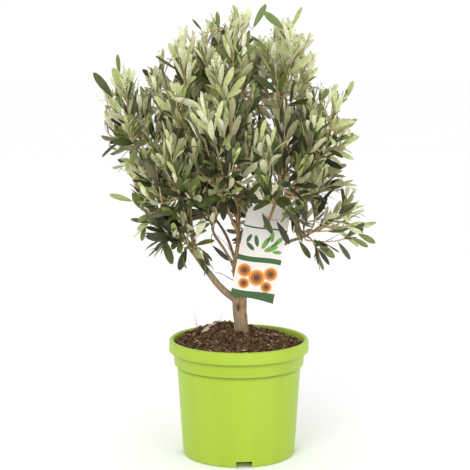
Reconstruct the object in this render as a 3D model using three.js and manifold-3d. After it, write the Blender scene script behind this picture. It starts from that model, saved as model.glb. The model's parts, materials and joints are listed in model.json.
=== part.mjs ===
// A young olive tree in a round plastic pot. Millimetres, +Z up, seen at its best from -Y.
// The origin is the middle of the pot's flat underside.
// A short trunk stands in mounded soil and forks into boughs. Each bough carries one mass of
// foliage, which keeps to its own space: shoots that rise from one stem, with leaves in pairs.

import * as THREE from "three";
import { mergeVertices } from "three/addons/utils/BufferGeometryUtils.js";
import Module from "manifold-3d";

const wasm = await Module();
wasm.setup();

const { lerp, clamp, smoothstep, degToRad } = THREE.MathUtils;

const GAP = 0.3; // between pieces that touch on the real plant
const WELD = 1e-4; // vertices closer than this are one

// Pot
const POT_HEIGHT = 182;
const POT_SIDES = 32;
const BASE_RADIUS = 87.5;
const BASE_ROUND = 3;
const BODY_TOP_RADIUS = 96.5;
const COLLAR_RADIUS = 101;
const COLLAR_FOOT = 141; // height of the collar's lower edge
const COLLAR_ROUND = 3;
const RIM_RADIUS = 109;
const RIM_FOOT = 163; // height of the rim band's lower edge
const RIM_ROUND = 3;
const LIP_WIDTH = 7;
const SKIRT = 2.2; // thickness of the rim band, which hangs clear of the wall
const DRAFT = 0.6; // how far the collar and the rim band slope over their height
const EDGE_BREAK = 1; // bevel of the small edges
const WALL = 2.2;
const FLOOR = 3;
const FLOOR_CORNER = 3; // bevel between the floor and the wall
const NOTCHES = 4; // drain notches round the base
const NOTCH_WIDTH = 24;
const NOTCH_HEIGHT = 9.5;
const NOTCH_DEPTH = 14;
const NOTCH_TURN = degToRad(5.2); // the front notch sits a little to the right

// Soil
const SOIL_EDGE = 173; // height where the soil meets the wall
const SOIL_MOUND = 20; // rise of the mound above that
const SOIL_MOUND_AT = new THREE.Vector2(-18, 20);
const SOIL_MOUND_SPREAD = 44;
const SOIL_LUMP = 1.5; // height of its lumps
const SOIL_LUMP_PITCH = [7, 8];
const SOIL_CRUMB_SHARE = 0.6; // finer lumps on the lumps
const SOIL_CRUMB_PITCH = [4.1, 5.3];
const SOIL_FADE = 15; // the strip by the wall where the surface runs level
const SOIL_RINGS = [0.87, 0.7, 0.52, 0.34, 0.17]; // radii of the surface's rings, as shares
const SOIL_CHAMFER = 12; // the root ball doesn't fill the pot's bottom corner

// Trunk
const TRUNK_FOOT = 180; // the flat cut, a little below the surface of the soil
const TRUNK_TOP = 249;
const TRUNK_LINE = [[3, 0, TRUNK_FOOT], [3.4, -0.5, 200], [1.5, 0, 226], [1, 0.5, TRUNK_TOP]];
const TRUNK_RADIUS = 10.7;
const TRUNK_FLARE = 3.2; // root flare at the foot
const FLARE_POWER = 5; // how fast the flare dies away
const FORK_SWELL = 1.8; // swelling towards the fork
const SWELL_POWER = 3;
const FORK_CLOSE = 1.2; // drawn in again at the very top
const CLOSE_POWER = 12;
const TRUNK_SIDES = 14;
const TRUNK_STEPS = 7;

// Boughs and branches
const BOUGH_SIDES = 8;
const BRANCH_SIDES = 5;
const TAPER_POWER = 0.8; // below 1, so that a limb thins fastest near its root

// Shoots
const FIRST_SEED = 1009;
const CROWN_HEART = new THREE.Vector3(-5, 0, 430); // shoots lean away from here, and up
const LEAN_UP = 0.6;
const SPACE_GAP = 0.5; // from a leaf to the plane between two spaces
const LIMB_GAP = 0.6; // from a twig or leaf to a limb
const TEST_STEPS = 8; // points tested along a twig or leaf
const GOLDEN_ANGLE = Math.PI * (3 - Math.sqrt(5));
const TURN_VARIES = 0.5;
const STEM_SHARE = 0.72; // how far to the middle of its space a stem runs
const STEM_SIDES = 4;
const SHOOTS = 5; // shoots in a mass
const SHOOT_FRONT = 0.95; // cosine from the mass's lean to its first shoot
const SHOOT_BACK = -0.55; // and to its last
const LOWEST_SHOOT = 0.2; // share of the stem below its lowest shoot
const SHOOT_SHARE = 0.85; // how far into its space a shoot's tip reaches
const SHOOT_VARIES = 0.3;
const SHOOT_SHORTER = 0.9; // each new try at a shoot that has no room
const SHORTEST_SHOOT = 0.1;
const SHOOT_ROOM = 36; // free space past a shoot's tip
const SHOOT_OUT = 0.7; // how far out and up the bend of a shoot's line lies
const SHOOT_UP = 0.36;
const SHOOT_RADIUS = 2.6;
const SHOOT_TIP_RADIUS = 1.8;
const SHOOT_SIDES = 3;
const SHOOT_STEPS = 2;
const SHOOT_TESTS = 6;

// Leaves
const PAIR_SPACING = 17; // from one pair of leaves to the next
const LEAFY_SHARE = 0.85; // the part of a shoot that bears leaves
const OLD_AT = 70; // from the tip to where leaves are full grown
const YOUNG_SIZE = 0.78; // size of a leaf at the tip
const SIZE_VARIES = 0.24;
const LEAF_LENGTH = 68;
const LEAF_WIDTH = 19;
const LEAF_THICKNESS = 1.6;
const LEAF_WIDEST = 0.54; // share of the length, from the root
const LEAF_SINK = 0.5; // how far a leaf's root runs past the twig's middle
const LEAF_NECK = 4; // the part by its root where a leaf may touch its twig
const LEAF_SIZES = [1, 0.84, 0.7]; // a leaf takes the first size and turn that has room
const LEAF_TURNS = [0, 0.7, -0.7, 1.3];
const TIP_ANGLE = degToRad(24); // leaf to shoot, at the tip
const OLD_ANGLE = degToRad(50); // leaf to shoot, lower down
const ANGLE_VARIES = 0.25;
const LEAF_DROOP = 0.16;

// Label card, hung on a front branch
const CARD_BEARER = "branch_front_right";
const CARD_HOOK = [42, -19, 361]; // where the branch passes through the card
const CARD_WIDTH = 67;
const CARD_SIDE = 126; // height of its straight sides
const CARD_ARCH = 26; // height of its arched top
const CARD_CROWN = 0.25; // share of the width that is left at the arch's top
const CARD_THICKNESS = 0.8;
const CARD_TILT = degToRad(11);
const CARD_CURL = 4; // how far its edges bend back
const CARD_GRID = [4, 1, 8]; // faces across, through and up
const CARD_HOLE_RADIUS = 5;
const CARD_HOLE_SIDES = 16;
const CARD_HOLE_DROP = 1.4; // from the branch's middle to the hole's
const CARD_HOLE_HEIGHT = 117;

const FINISHES = {
  pot: { color: new THREE.Color(0.48, 0.7, 0.07), roughness: 0.4 },
  soil: { color: new THREE.Color(0.085, 0.05, 0.03), roughness: 0.95 },
  bark: { color: new THREE.Color(0.33, 0.24, 0.15), roughness: 0.85 },
  leaf: { color: new THREE.Color(0.16, 0.21, 0.08), roughness: 0.6 },
  card: { color: new THREE.Color(0.85, 0.83, 0.8), roughness: 0.5 },
};

const vector = (values) => new THREE.Vector3(...values);

// The boughs and branches, parents first. "from" is where on the parent's line one starts, from
// 0 to 1, and "through" holds the points that it passes on the way to its tip.
const LIMBS = [
  { name: "bough_leader", parent: "trunk", from: 1, radii: [8.6, 3.4],
    through: [[16, 5, 277], [42, 10, 335], [64, 12, 413], [59, 9, 490], [63, 4, 530]] },
  { name: "bough_left", parent: "trunk", from: 0.84, radii: [6.6, 4],
    through: [[-26, -3, 260], [-49, -7, 289], [-71, -10, 320]] },
  { name: "bough_centre", parent: "bough_leader", from: 0.035, radii: [3.6, 2.6],
    through: [[-7, -2, 286], [-1, -3, 345], [-8, 0, 430], [-8, 4, 506]] },
  { name: "bough_left_rising", parent: "bough_left", from: 0.82, radii: [3.8, 2.6],
    through: [[-74, 2, 350], [-79, 4, 415], [-76, 6, 478]] },
  { name: "branch_right", parent: "bough_leader", from: 0.5, radii: [3.4, 2.4],
    through: [[86, 2, 425], [112, 0, 462]] },
  { name: "branch_right_low", parent: "bough_leader", from: 0.25, radii: [3.6, 2.4],
    through: [[58, 4, 322], [78, -4, 334], [94, -8, 340]] },
  { name: "branch_left", parent: "bough_left_rising", from: 0.42, radii: [3, 2.3],
    through: [[-104, 6, 445], [-132, 2, 480]] },
  { name: "branch_left_low", parent: "bough_left", from: 0.68, radii: [3.2, 2.3],
    through: [[-82, 4, 338], [-114, 8, 368]] },
  { name: "branch_front_right", parent: "bough_leader", from: 0.27, radii: [3.2, 2.6],
    through: [CARD_HOOK, [46, -42, 374], [52, -62, 394]] },
  { name: "branch_front_centre", parent: "bough_centre", from: 0.36, radii: [2.7, 2.2],
    through: [[-18, -33, 390], [-22, -62, 412]] },
  { name: "branch_front_left", parent: "bough_left", from: 0.84, radii: [2.8, 2.2],
    through: [[-70, -38, 350], [-72, -66, 386]] },
  { name: "branch_back_centre", parent: "bough_centre", from: 0.36, radii: [2.7, 2.2],
    through: [[2, 44, 395], [2, 80, 430]] },
  { name: "branch_back_left", parent: "bough_centre", from: 0.2, radii: [2.7, 2.2],
    through: [[-24, 38, 345], [-66, 74, 396]] },
  { name: "branch_back_right", parent: "bough_leader", from: 0.33, radii: [3, 2.2],
    through: [[66, 50, 372], [84, 80, 398]] },
  { name: "branch_middle", parent: "bough_centre", from: 0.16, radii: [2.6, 2.2],
    through: [[-22, -10, 322], [-34, -14, 340]] },
  { name: "branch_back_low", parent: "bough_leader", from: 0.15, radii: [3, 2.2],
    through: [[32, 38, 316], [30, 64, 334]] },
  { name: "branch_top_back", parent: "bough_leader", from: 0.8, radii: [2.6, 2.1],
    through: [[44, 38, 512], [32, 62, 534]] },
];

// The masses of foliage. "bearer" is the limb whose tip each grows on, "centre" the middle of
// its space and "reach" the half size of that space along X, Y and Z.
const MASSES = [
  { name: "top_right", bearer: "bough_leader", centre: [62, -4, 602], reach: [56, 76, 97] },
  { name: "top_centre", bearer: "bough_centre", centre: [-16, -6, 600], reach: [58, 76, 98] },
  { name: "top_left", bearer: "bough_left_rising", centre: [-84, 0, 566], reach: [62, 74, 100] },
  { name: "top_back", bearer: "branch_top_back", centre: [14, 99, 572], reach: [76, 70, 88] },
  { name: "left", bearer: "branch_left", centre: [-158, -6, 520], reach: [63, 78, 90] },
  { name: "middle", bearer: "branch_middle", centre: [-40, -6, 392], reach: [56, 64, 64] },
  { name: "left_low", bearer: "branch_left_low", centre: [-136, 6, 410], reach: [68, 81, 74] },
  { name: "under_left", bearer: "bough_left", centre: [-86, -30, 354], reach: [62, 70, 60] },
  { name: "right", bearer: "branch_right", centre: [122, -4, 512], reach: [60, 76, 84] },
  { name: "right_low", bearer: "branch_right_low", centre: [132, -12, 364], reach: [79, 85, 76] },
  { name: "front_centre", bearer: "branch_front_centre", centre: [-22, -104, 472], reach: [70, 70, 98] },
  { name: "front_left", bearer: "branch_front_left", centre: [-86, -95, 442], reach: [66, 70, 86] },
  { name: "front_right", bearer: "branch_front_right", centre: [66, -95, 466], reach: [74, 72, 96] },
  { name: "back_centre", bearer: "branch_back_centre", centre: [0, 118, 480], reach: [76, 74, 92] },
  { name: "back_left", bearer: "branch_back_left", centre: [-94, 104, 442], reach: [70, 74, 86] },
  { name: "back_right", bearer: "branch_back_right", centre: [104, 97, 434], reach: [70, 76, 86] },
  { name: "back_low", bearer: "branch_back_low", centre: [26, 86, 368], reach: [64, 66, 58] },
];

// A closed geometry as a solid that can be joined and cut.
function solidOf(geometry) {
  const bare = new THREE.BufferGeometry().setAttribute("position", geometry.getAttribute("position"));
  bare.setIndex(geometry.index);
  const merged = mergeVertices(bare, WELD);
  const corners = merged.index.array;
  const kept = [];
  for (let i = 0; i < corners.length; i += 3) {
    const [a, b, c] = corners.slice(i, i + 3);
    if (a !== b && b !== c && c !== a) kept.push(a, b, c);
  }
  const vertProperties = Float32Array.from(merged.attributes.position.array);
  return new wasm.Manifold(new wasm.Mesh({ numProp: 3, vertProperties, triVerts: Uint32Array.from(kept) }));
}

// A solid as a mesh with its name and finish.
function meshOf(name, solid, finish) {
  const made = solid.getMesh();
  const positions = new Float32Array(made.numVert * 3);
  for (let i = 0; i < made.numVert; i++) {
    positions.set(made.vertProperties.subarray(i * made.numProp, i * made.numProp + 3), i * 3);
  }
  const geometry = new THREE.BufferGeometry();
  geometry.setAttribute("position", new THREE.BufferAttribute(positions, 3));
  geometry.setIndex(new THREE.BufferAttribute(Uint32Array.from(made.triVerts), 1));
  geometry.computeVertexNormals();
  const mesh = new THREE.Mesh(geometry, new THREE.MeshStandardMaterial({ ...finish, metalness: 0 }));
  mesh.name = name;
  return mesh;
}

// A round solid of a profile of [radius, height] points, which starts and ends on the axis.
function turned(profile, sides) {
  const points = profile.map(([radius, height]) => new THREE.Vector2(radius, height));
  return new THREE.LatheGeometry(points, sides).rotateX(Math.PI / 2);
}

// Profile points on an arc round a middle, between two angles.
function arc(middle, radius, fromAngle, toAngle, steps) {
  return Array.from({ length: steps + 1 }, (_, i) => {
    const angle = lerp(fromAngle, toAngle, i / steps);
    return [middle[0] + radius * Math.cos(angle), middle[1] + radius * Math.sin(angle)];
  });
}

const HALF_LIP = LIP_WIDTH / 2;
const LIP_MIDDLE = [RIM_RADIUS - DRAFT - HALF_LIP, POT_HEIGHT - HALF_LIP];

// The radius of the pot's inner wall at a height.
function innerRadius(height) {
  const body = lerp(BASE_RADIUS, BODY_TOP_RADIUS, clamp(height / COLLAR_FOOT, 0, 1)) - WALL;
  const rise = clamp((height - COLLAR_FOOT) / (LIP_MIDDLE[1] - COLLAR_FOOT), 0, 1);
  return lerp(body, LIP_MIDDLE[0] - HALF_LIP, rise);
}

function makePot() {
  const baseMiddle = [BASE_RADIUS - BASE_ROUND, BASE_ROUND];
  const underLip = POT_HEIGHT - LIP_WIDTH;
  const profile = [
    [0, 0],
    ...arc(baseMiddle, BASE_ROUND, -Math.PI / 2, 0, 2),
    [BODY_TOP_RADIUS, COLLAR_FOOT],
    [COLLAR_RADIUS - EDGE_BREAK, COLLAR_FOOT + EDGE_BREAK],
    [COLLAR_RADIUS, COLLAR_FOOT + COLLAR_ROUND],
    [COLLAR_RADIUS + DRAFT, underLip],
    [RIM_RADIUS - SKIRT - DRAFT, underLip],
    [RIM_RADIUS - SKIRT - EDGE_BREAK, RIM_FOOT],
    [RIM_RADIUS - EDGE_BREAK, RIM_FOOT],
    [RIM_RADIUS, RIM_FOOT + RIM_ROUND],
    ...arc(LIP_MIDDLE, HALF_LIP, 0, Math.PI, 4),
    [innerRadius(COLLAR_FOOT), COLLAR_FOOT],
    [innerRadius(FLOOR + FLOOR_CORNER), FLOOR + FLOOR_CORNER],
    [innerRadius(FLOOR) - FLOOR_CORNER, FLOOR],
    [0, FLOOR],
  ];
  let pot = solidOf(turned(profile, POT_SIDES));
  for (let i = 0; i < NOTCHES; i++) {
    const notch = new THREE.BoxGeometry(NOTCH_WIDTH, NOTCH_DEPTH * 2, NOTCH_HEIGHT * 2);
    notch.translate(0, -BASE_RADIUS, 0).rotateZ(NOTCH_TURN + (i * 2 * Math.PI) / NOTCHES);
    pot = pot.subtract(solidOf(notch));
  }
  return pot;
}

// Height of the soil's surface: a mound beside the trunk, with lumps that fade out at the wall.
function soilHeight(x, y) {
  const away = (x - SOIL_MOUND_AT.x) ** 2 + (y - SOIL_MOUND_AT.y) ** 2;
  const mound = SOIL_MOUND * Math.exp(-away / (2 * SOIL_MOUND_SPREAD ** 2));
  const lumps = Math.sin(x / SOIL_LUMP_PITCH[0] + 1) * Math.cos(y / SOIL_LUMP_PITCH[1]);
  const crumbs = SOIL_CRUMB_SHARE * Math.sin(x / SOIL_CRUMB_PITCH[0] - y / SOIL_CRUMB_PITCH[1]);
  const fade = smoothstep(innerRadius(SOIL_EDGE) - Math.hypot(x, y), 0, SOIL_FADE);
  return SOIL_EDGE + fade * (mound + SOIL_LUMP * (lumps + crumbs));
}

function makeSoil(trunk) {
  const edge = innerRadius(SOIL_EDGE) - GAP;
  const foot = innerRadius(FLOOR + SOIL_CHAMFER) - GAP;
  const profile = [
    [0, FLOOR + GAP],
    [foot - SOIL_CHAMFER, FLOOR + GAP],
    [foot, FLOOR + GAP + SOIL_CHAMFER],
    [innerRadius(COLLAR_FOOT) - GAP, COLLAR_FOOT],
    [edge, SOIL_EDGE],
    ...SOIL_RINGS.map((share) => [edge * share, SOIL_EDGE]),
    [0, SOIL_EDGE],
  ];
  const geometry = turned(profile, POT_SIDES);
  const at = geometry.attributes.position;
  for (let i = 0; i < at.count; i++) {
    if (at.getZ(i) > SOIL_EDGE - 1) at.setZ(i, soilHeight(at.getX(i), at.getY(i)));
  }
  return solidOf(geometry).subtract(trunk.grown);
}

// A round tapering solid along a curve: a cylinder bent to it, with a radius for each share of
// its length.
function tapered(curve, radiusAt, sides, steps) {
  const geometry = new THREE.CylinderGeometry(1, 1, 1, sides, steps);
  const frames = curve.computeFrenetFrames(steps, false);
  const at = geometry.attributes.position;
  const point = new THREE.Vector3();
  for (let i = 0; i < at.count; i++) {
    const step = Math.round((at.getY(i) + 0.5) * steps);
    const radius = radiusAt(step / steps);
    curve.getPointAt(step / steps, point);
    point.addScaledVector(frames.normals[step], at.getX(i) * radius);
    point.addScaledVector(frames.binormals[step], -at.getZ(i) * radius);
    at.setXYZ(i, point.x, point.y, point.z);
  }
  return geometry;
}

// A smooth line through points, for a limb.
function curveThrough(points) {
  return new THREE.CatmullRomCurve3(points, false, "catmullrom");
}

// A path of straight stretches from point to point, for a stem or shoot.
function pathThrough(points) {
  const path = new THREE.CurvePath();
  for (let i = 1; i < points.length; i++) path.add(new THREE.LineCurve3(points[i - 1], points[i]));
  return path;
}

// A limb: its line, its radius along it, its solid, and that solid grown by the gap for cuts.
function makeLimb(name, curve, radiusAt, sides, steps) {
  const solid = solidOf(tapered(curve, radiusAt, sides, steps));
  const grown = solidOf(tapered(curve, (share) => radiusAt(share) + GAP, sides, steps));
  const line = curve.getSpacedPoints(steps);
  const radii = line.map((_, i) => radiusAt(i / steps));
  return { name, curve, radiusAt, solid, grown, line, radii };
}

function makeTrunk() {
  const radiusAt = (share) => {
    const flare = TRUNK_FLARE * (1 - share) ** FLARE_POWER;
    const fork = FORK_SWELL * share ** SWELL_POWER - FORK_CLOSE * share ** CLOSE_POWER;
    return TRUNK_RADIUS + flare + fork;
  };
  return makeLimb("trunk", curveThrough(TRUNK_LINE.map(vector)), radiusAt, TRUNK_SIDES, TRUNK_STEPS);
}

// Every limb, in a map by name. One that starts at its parent's tip stands clear of its end; the
// others are cut by all the limbs before them.
function makeLimbs() {
  const limbs = new Map([["trunk", makeTrunk()]]);
  for (const { name, parent, from, radii, through } of LIMBS) {
    const bearer = limbs.get(parent).curve;
    const start = bearer.getPointAt(from);
    if (from === 1) start.addScaledVector(bearer.getTangentAt(1), GAP);
    const points = [start, ...through.map(vector)];
    const radiusAt = (share) => lerp(radii[0], radii[1], share ** TAPER_POWER);
    const isBough = name.startsWith("bough");
    const sides = isBough ? BOUGH_SIDES : BRANCH_SIDES;
    const steps = points.length + (isBough ? 1 : 0);
    const limb = makeLimb(name, curveThrough(points), radiusAt, sides, steps);
    for (const other of limbs.values()) limb.solid = limb.solid.subtract(other.grown);
    limbs.set(name, limb);
  }
  return limbs;
}

// A repeatable stream of numbers from 0 to 1.
function randomFrom(seed) {
  let state = seed >>> 0;
  return () => {
    state = (state + 0x6d2b79f5) >>> 0;
    let mixed = Math.imul(state ^ (state >>> 15), state | 1);
    mixed ^= mixed + Math.imul(mixed ^ (mixed >>> 7), mixed | 61);
    return ((mixed ^ (mixed >>> 14)) >>> 0) / 2 ** 32;
  };
}

// The shortest distance between two straight stretches, by sampling the first.
function stretchDistance(a, b, c, d) {
  const stretch = new THREE.Line3(c, d);
  const point = new THREE.Vector3();
  const nearest = new THREE.Vector3();
  let least = Infinity;
  for (let i = 0; i <= TEST_STEPS; i++) {
    point.lerpVectors(a, b, i / TEST_STEPS);
    stretch.closestPointToPoint(point, true, nearest);
    least = Math.min(least, point.distanceTo(nearest));
  }
  return least;
}

// The card's own axes, and the places of its hole and of the middle of its foot.
const CARD_ACROSS = new THREE.Vector3(Math.cos(CARD_TILT), 0, -Math.sin(CARD_TILT));
const CARD_UP = new THREE.Vector3(Math.sin(CARD_TILT), 0, Math.cos(CARD_TILT));
const CARD_HOLE = vector(CARD_HOOK).addScaledVector(CARD_UP, -CARD_HOLE_DROP);
const CARD_FOOT = CARD_HOLE.clone().addScaledVector(CARD_UP, -CARD_HOLE_HEIGHT);

function nearCard(point, margin) {
  const away = point.clone().sub(CARD_FOOT);
  const across = Math.abs(away.dot(CARD_ACROSS));
  const up = away.dot(CARD_UP);
  return (
    across < CARD_WIDTH / 2 + margin && up > -margin && up < CARD_SIDE + CARD_ARCH + margin &&
    away.y > -margin && away.y < CARD_CURL + margin
  );
}

// The tests that keep a mass in its own space, off the limbs and off the card. A space is an
// ellipsoid, cut by a plane towards each of its neighbours.
class Space {
  constructor(mass, masses, limbs) {
    this.centre = vector(mass.centre);
    this.reach = vector(mass.reach);
    this.limbs = limbs;
    const size = (other) => (other.reach[0] + other.reach[1] + other.reach[2]) / 3;
    this.walls = masses.filter((other) => other !== mass).map((other) => {
      const normal = vector(other.centre).sub(this.centre);
      const apart = normal.length();
      const offset = (apart ** 2 + size(mass) ** 2 - size(other) ** 2) / (2 * apart);
      return { normal: normal.normalize(), offset };
    });
  }

  holds(point) {
    const away = point.clone().sub(this.centre);
    if (this.walls.some(({ normal, offset }) => away.dot(normal) > offset - SPACE_GAP)) return false;
    return away.divide(this.reach).length() <= 1;
  }

  isClear(from, to, margin) {
    for (const { line, radii } of this.limbs) {
      for (let i = 1; i < line.length; i++) {
        const apart = stretchDistance(from, to, line[i - 1], line[i]);
        if (apart < radii[i - 1] + margin + LIMB_GAP) return false;
      }
    }
    const point = new THREE.Vector3();
    for (let i = 0; i <= TEST_STEPS; i++) {
      if (nearCard(point.lerpVectors(from, to, i / TEST_STEPS), margin + LIMB_GAP)) return false;
    }
    return true;
  }
}

// The ways that a mass's shoots go from its middle: spread by the golden angle round the way
// that the mass leans.
function shootWays(centre, random) {
  const lean = centre.clone().sub(CROWN_HEART).normalize();
  lean.z += LEAN_UP;
  const toLean = new THREE.Quaternion().setFromUnitVectors(new THREE.Vector3(0, 0, 1), lean.normalize());
  return Array.from({ length: SHOOTS }, (_, i) => {
    const cosine = lerp(SHOOT_FRONT, SHOOT_BACK, i / (SHOOTS - 1));
    const sine = Math.sqrt(1 - cosine * cosine);
    const turn = i * GOLDEN_ANGLE + random() * TURN_VARIES;
    return new THREE.Vector3(Math.cos(turn) * sine, Math.sin(turn) * sine, cosine).applyQuaternion(toLean);
  });
}

// The stem of a mass: from its bearer's tip towards the middle of its space, in two stretches of
// one length, the first along the bearer's line.
function makeStem(mass, bearer) {
  const along = bearer.curve.getTangentAt(1);
  const start = bearer.curve.getPointAt(1).addScaledVector(along, GAP);
  const heart = start.clone().lerp(vector(mass.centre), STEM_SHARE);
  const reach = heart.clone().sub(start);
  const bend = start.clone().addScaledVector(along, reach.lengthSq() / (2 * reach.dot(along)));
  const radiusAt = (share) => lerp(bearer.radiusAt(1), SHOOT_RADIUS, share);
  return makeLimb(mass.name, pathThrough([start, bend, heart]), radiusAt, STEM_SIDES, 2);
}

// A shoot's line: out from the stem first, then up to its aim.
function shootLine(start, aim) {
  const bend = new THREE.Vector3(
    lerp(start.x, aim.x, SHOOT_OUT),
    lerp(start.y, aim.y, SHOOT_OUT),
    lerp(start.z, aim.z, SHOOT_UP));
  return pathThrough(new THREE.QuadraticBezierCurve3(start, bend, aim).getSpacedPoints(SHOOT_STEPS));
}

// The longest shoot that goes a given way and keeps to the space, with room past its tip.
function makeShoot(space, start, way, share) {
  for (let reached = share; reached > SHORTEST_SHOOT; reached *= SHOOT_SHORTER) {
    const aim = way.clone().multiply(space.reach).multiplyScalar(reached).add(space.centre);
    const line = shootLine(start, aim);
    const past = aim.clone().addScaledVector(line.getTangent(1), SHOOT_ROOM);
    if (space.holds(past) && shootHasRoom(line, space)) return line;
  }
  return null;
}

function shootHasRoom(line, space) {
  const points = line.getSpacedPoints(SHOOT_TESTS);
  return points.every((point, i) =>
    space.holds(point) && (i === 0 || space.isClear(points[i - 1], point, SHOOT_RADIUS)));
}

// One leaf: where its root and tip are, which way its face looks, and its size.
function leafAt(point, along, turn, angle, size) {
  const side = new THREE.Vector3(0, 0, 1).cross(along);
  if (side.lengthSq() < 0.01) side.set(1, 0, 0);
  side.normalize().applyAxisAngle(along, turn);
  const way = along.clone().multiplyScalar(Math.cos(angle)).addScaledVector(side, Math.sin(angle));
  way.z -= LEAF_DROOP * Math.sin(angle);
  way.normalize();
  const face = along.clone().addScaledVector(way, -along.dot(way)).normalize();
  const root = point.clone().addScaledVector(way, -LEAF_SINK);
  const tip = root.clone().addScaledVector(way, LEAF_LENGTH * size);
  return { root, tip, way, face, size };
}

// Opposite leaves along a shoot, from its tip down, each pair turned a quarter from the last.
// Each is given in all its sizes and turns, the wanted ones first.
function leavesOn(line, random) {
  const length = line.getLength();
  const leaves = [];
  const first = random() * Math.PI;
  for (let back = 0, pair = 0; back < length * LEAFY_SHARE; back += PAIR_SPACING, pair++) {
    const share = 1 - (back + 1) / length;
    const point = line.getPointAt(share);
    const along = line.getTangentAt(share);
    const age = Math.min(1, back / OLD_AT);
    for (const opposite of [0, Math.PI]) {
      const turn = first + pair * (Math.PI / 2) + opposite + TURN_VARIES * (random() - 0.5);
      const angle = lerp(TIP_ANGLE, OLD_ANGLE, age) + ANGLE_VARIES * (random() - 0.5);
      const grown = lerp(YOUNG_SIZE, 1, age) * (1 + SIZE_VARIES * (random() - 0.5));
      const choices = LEAF_SIZES.flatMap((size) =>
        LEAF_TURNS.map((aside) => leafAt(point, along, turn + aside, angle, grown * size)));
      leaves.push({ back, choices });
    }
  }
  return leaves;
}

// A leaf as a flat pointed solid of six faces: flat above, with a keel along its underside, and
// widest just past its middle. It is a round form of three sides, drawn out from root to tip.
function leafGeometry({ root, tip, way, face, size }) {
  const across = new THREE.Vector3().crossVectors(way, face);
  const geometry = new THREE.SphereGeometry(1, 3, 2);
  const halfWidth = (LEAF_WIDTH * size) / 2 / Math.sin(Math.PI / 3);
  const at = geometry.attributes.position;
  const depth = 1.5; // of a triangle in a circle of radius 1
  for (let i = 0; i < at.count; i++) {
    const along = Math.abs(at.getY(i)) < 0.5 ? LEAF_WIDEST : (at.getY(i) + 1) / 2;
    const point = new THREE.Vector3().lerpVectors(root, tip, along);
    point.addScaledVector(across, -at.getZ(i) * halfWidth);
    point.addScaledVector(face, (at.getX(i) * LEAF_THICKNESS) / depth);
    at.setXYZ(i, point.x, point.y, point.z);
  }
  return geometry;
}

// Where a leaf's tip and its widest points are.
function leafCorners({ root, tip, way, face, size }) {
  const middle = root.clone().lerp(tip, LEAF_WIDEST);
  const across = new THREE.Vector3().crossVectors(way, face).multiplyScalar((LEAF_WIDTH * size) / 2);
  return [tip, middle.clone().add(across), middle.sub(across)];
}

// A leaf has room if it keeps to its space and, past its neck, touches nothing.
function leafHasRoom(leaf, space, solid) {
  if (!leafCorners(leaf).every((corner) => space.holds(corner))) return false;
  if (!space.isClear(leaf.root, leaf.tip, (LEAF_WIDTH * leaf.size) / 2)) return false;
  const pastNeck = { ...leaf, root: leaf.root.clone().addScaledVector(leaf.way, LEAF_NECK) };
  return solid.intersect(solidOf(leafGeometry(pastNeck))).isEmpty();
}

// One mass of foliage as a solid: its stem, its shoots, and the leaves that keep to its space,
// the outermost first.
function makeMass(mass, order, limbs, stems) {
  const random = randomFrom(FIRST_SEED * (order + 1));
  const stem = stems[order];
  const space = new Space(mass, MASSES, [...limbs.values(), ...stems.filter((other) => other !== stem)]);
  const taper = (share) => lerp(SHOOT_RADIUS, SHOOT_TIP_RADIUS, share);
  const shoots = shootWays(space.centre, random)
    .map((way, i) => {
      const start = stem.curve.getPointAt(lerp(1, LOWEST_SHOOT, i / (SHOOTS - 1)));
      return makeShoot(space, start, way, SHOOT_SHARE * (1 + SHOOT_VARIES * (random() - 0.5)));
    })
    .filter((line) => line !== null);
  let solid = stem.solid;
  for (const line of shoots) solid = solid.add(solidOf(tapered(line, taper, SHOOT_SIDES, SHOOT_STEPS)));
  const leaves = shoots.flatMap((line) => leavesOn(line, random));
  for (const { choices } of leaves.sort((one, other) => one.back - other.back)) {
    const leaf = choices.find((choice) => leafHasRoom(choice, space, solid));
    if (leaf) solid = solid.add(solidOf(leafGeometry(leaf)));
  }
  return meshOf(`foliage_${mass.name}`, solid, FINISHES.leaf);
}

// The card: a grid bent back at its edges, with straight sides below and an arched top, and a
// hole for the branch that it hangs on.
function makeCard(bearer) {
  const height = CARD_SIDE + CARD_ARCH;
  const geometry = new THREE.BoxGeometry(CARD_WIDTH, CARD_THICKNESS, height, ...CARD_GRID);
  const at = geometry.attributes.position;
  const point = new THREE.Vector3();
  for (let i = 0; i < at.count; i++) {
    const share = at.getZ(i) / height + 0.5;
    const turn = Math.max(0, share - 0.5) * Math.PI; // round the arch, from its side to its top
    const up = share < 0.5 ? 2 * share * CARD_SIDE : CARD_SIDE + CARD_ARCH * Math.sin(turn);
    const across = at.getX(i) * lerp(CARD_CROWN, 1, Math.cos(turn));
    const back = CARD_CURL * (across / (CARD_WIDTH / 2)) ** 2;
    point.copy(CARD_FOOT).addScaledVector(CARD_ACROSS, across).addScaledVector(CARD_UP, up);
    at.setXYZ(i, point.x, point.y + at.getY(i) + back, point.z);
  }
  const through = CARD_CURL * 4;
  const hole = new THREE.CylinderGeometry(CARD_HOLE_RADIUS, CARD_HOLE_RADIUS, through, CARD_HOLE_SIDES);
  return solidOf(geometry).subtract(solidOf(hole.translate(...CARD_HOLE))).subtract(bearer.grown);
}

function makeTree() {
  const group = new THREE.Group();
  group.name = "potted_olive_tree";
  const limbs = makeLimbs();
  group.add(meshOf("pot", makePot(), FINISHES.pot));
  group.add(meshOf("soil", makeSoil(limbs.get("trunk")), FINISHES.soil));
  for (const [name, limb] of limbs) group.add(meshOf(name, limb.solid, FINISHES.bark));
  const stems = MASSES.map((mass) => makeStem(mass, limbs.get(mass.bearer)));
  MASSES.forEach((mass, order) => group.add(makeMass(mass, order, limbs, stems)));
  group.add(meshOf("label_card", makeCard(limbs.get(CARD_BEARER)), FINISHES.card));
  return group;
}

export default makeTree();
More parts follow.
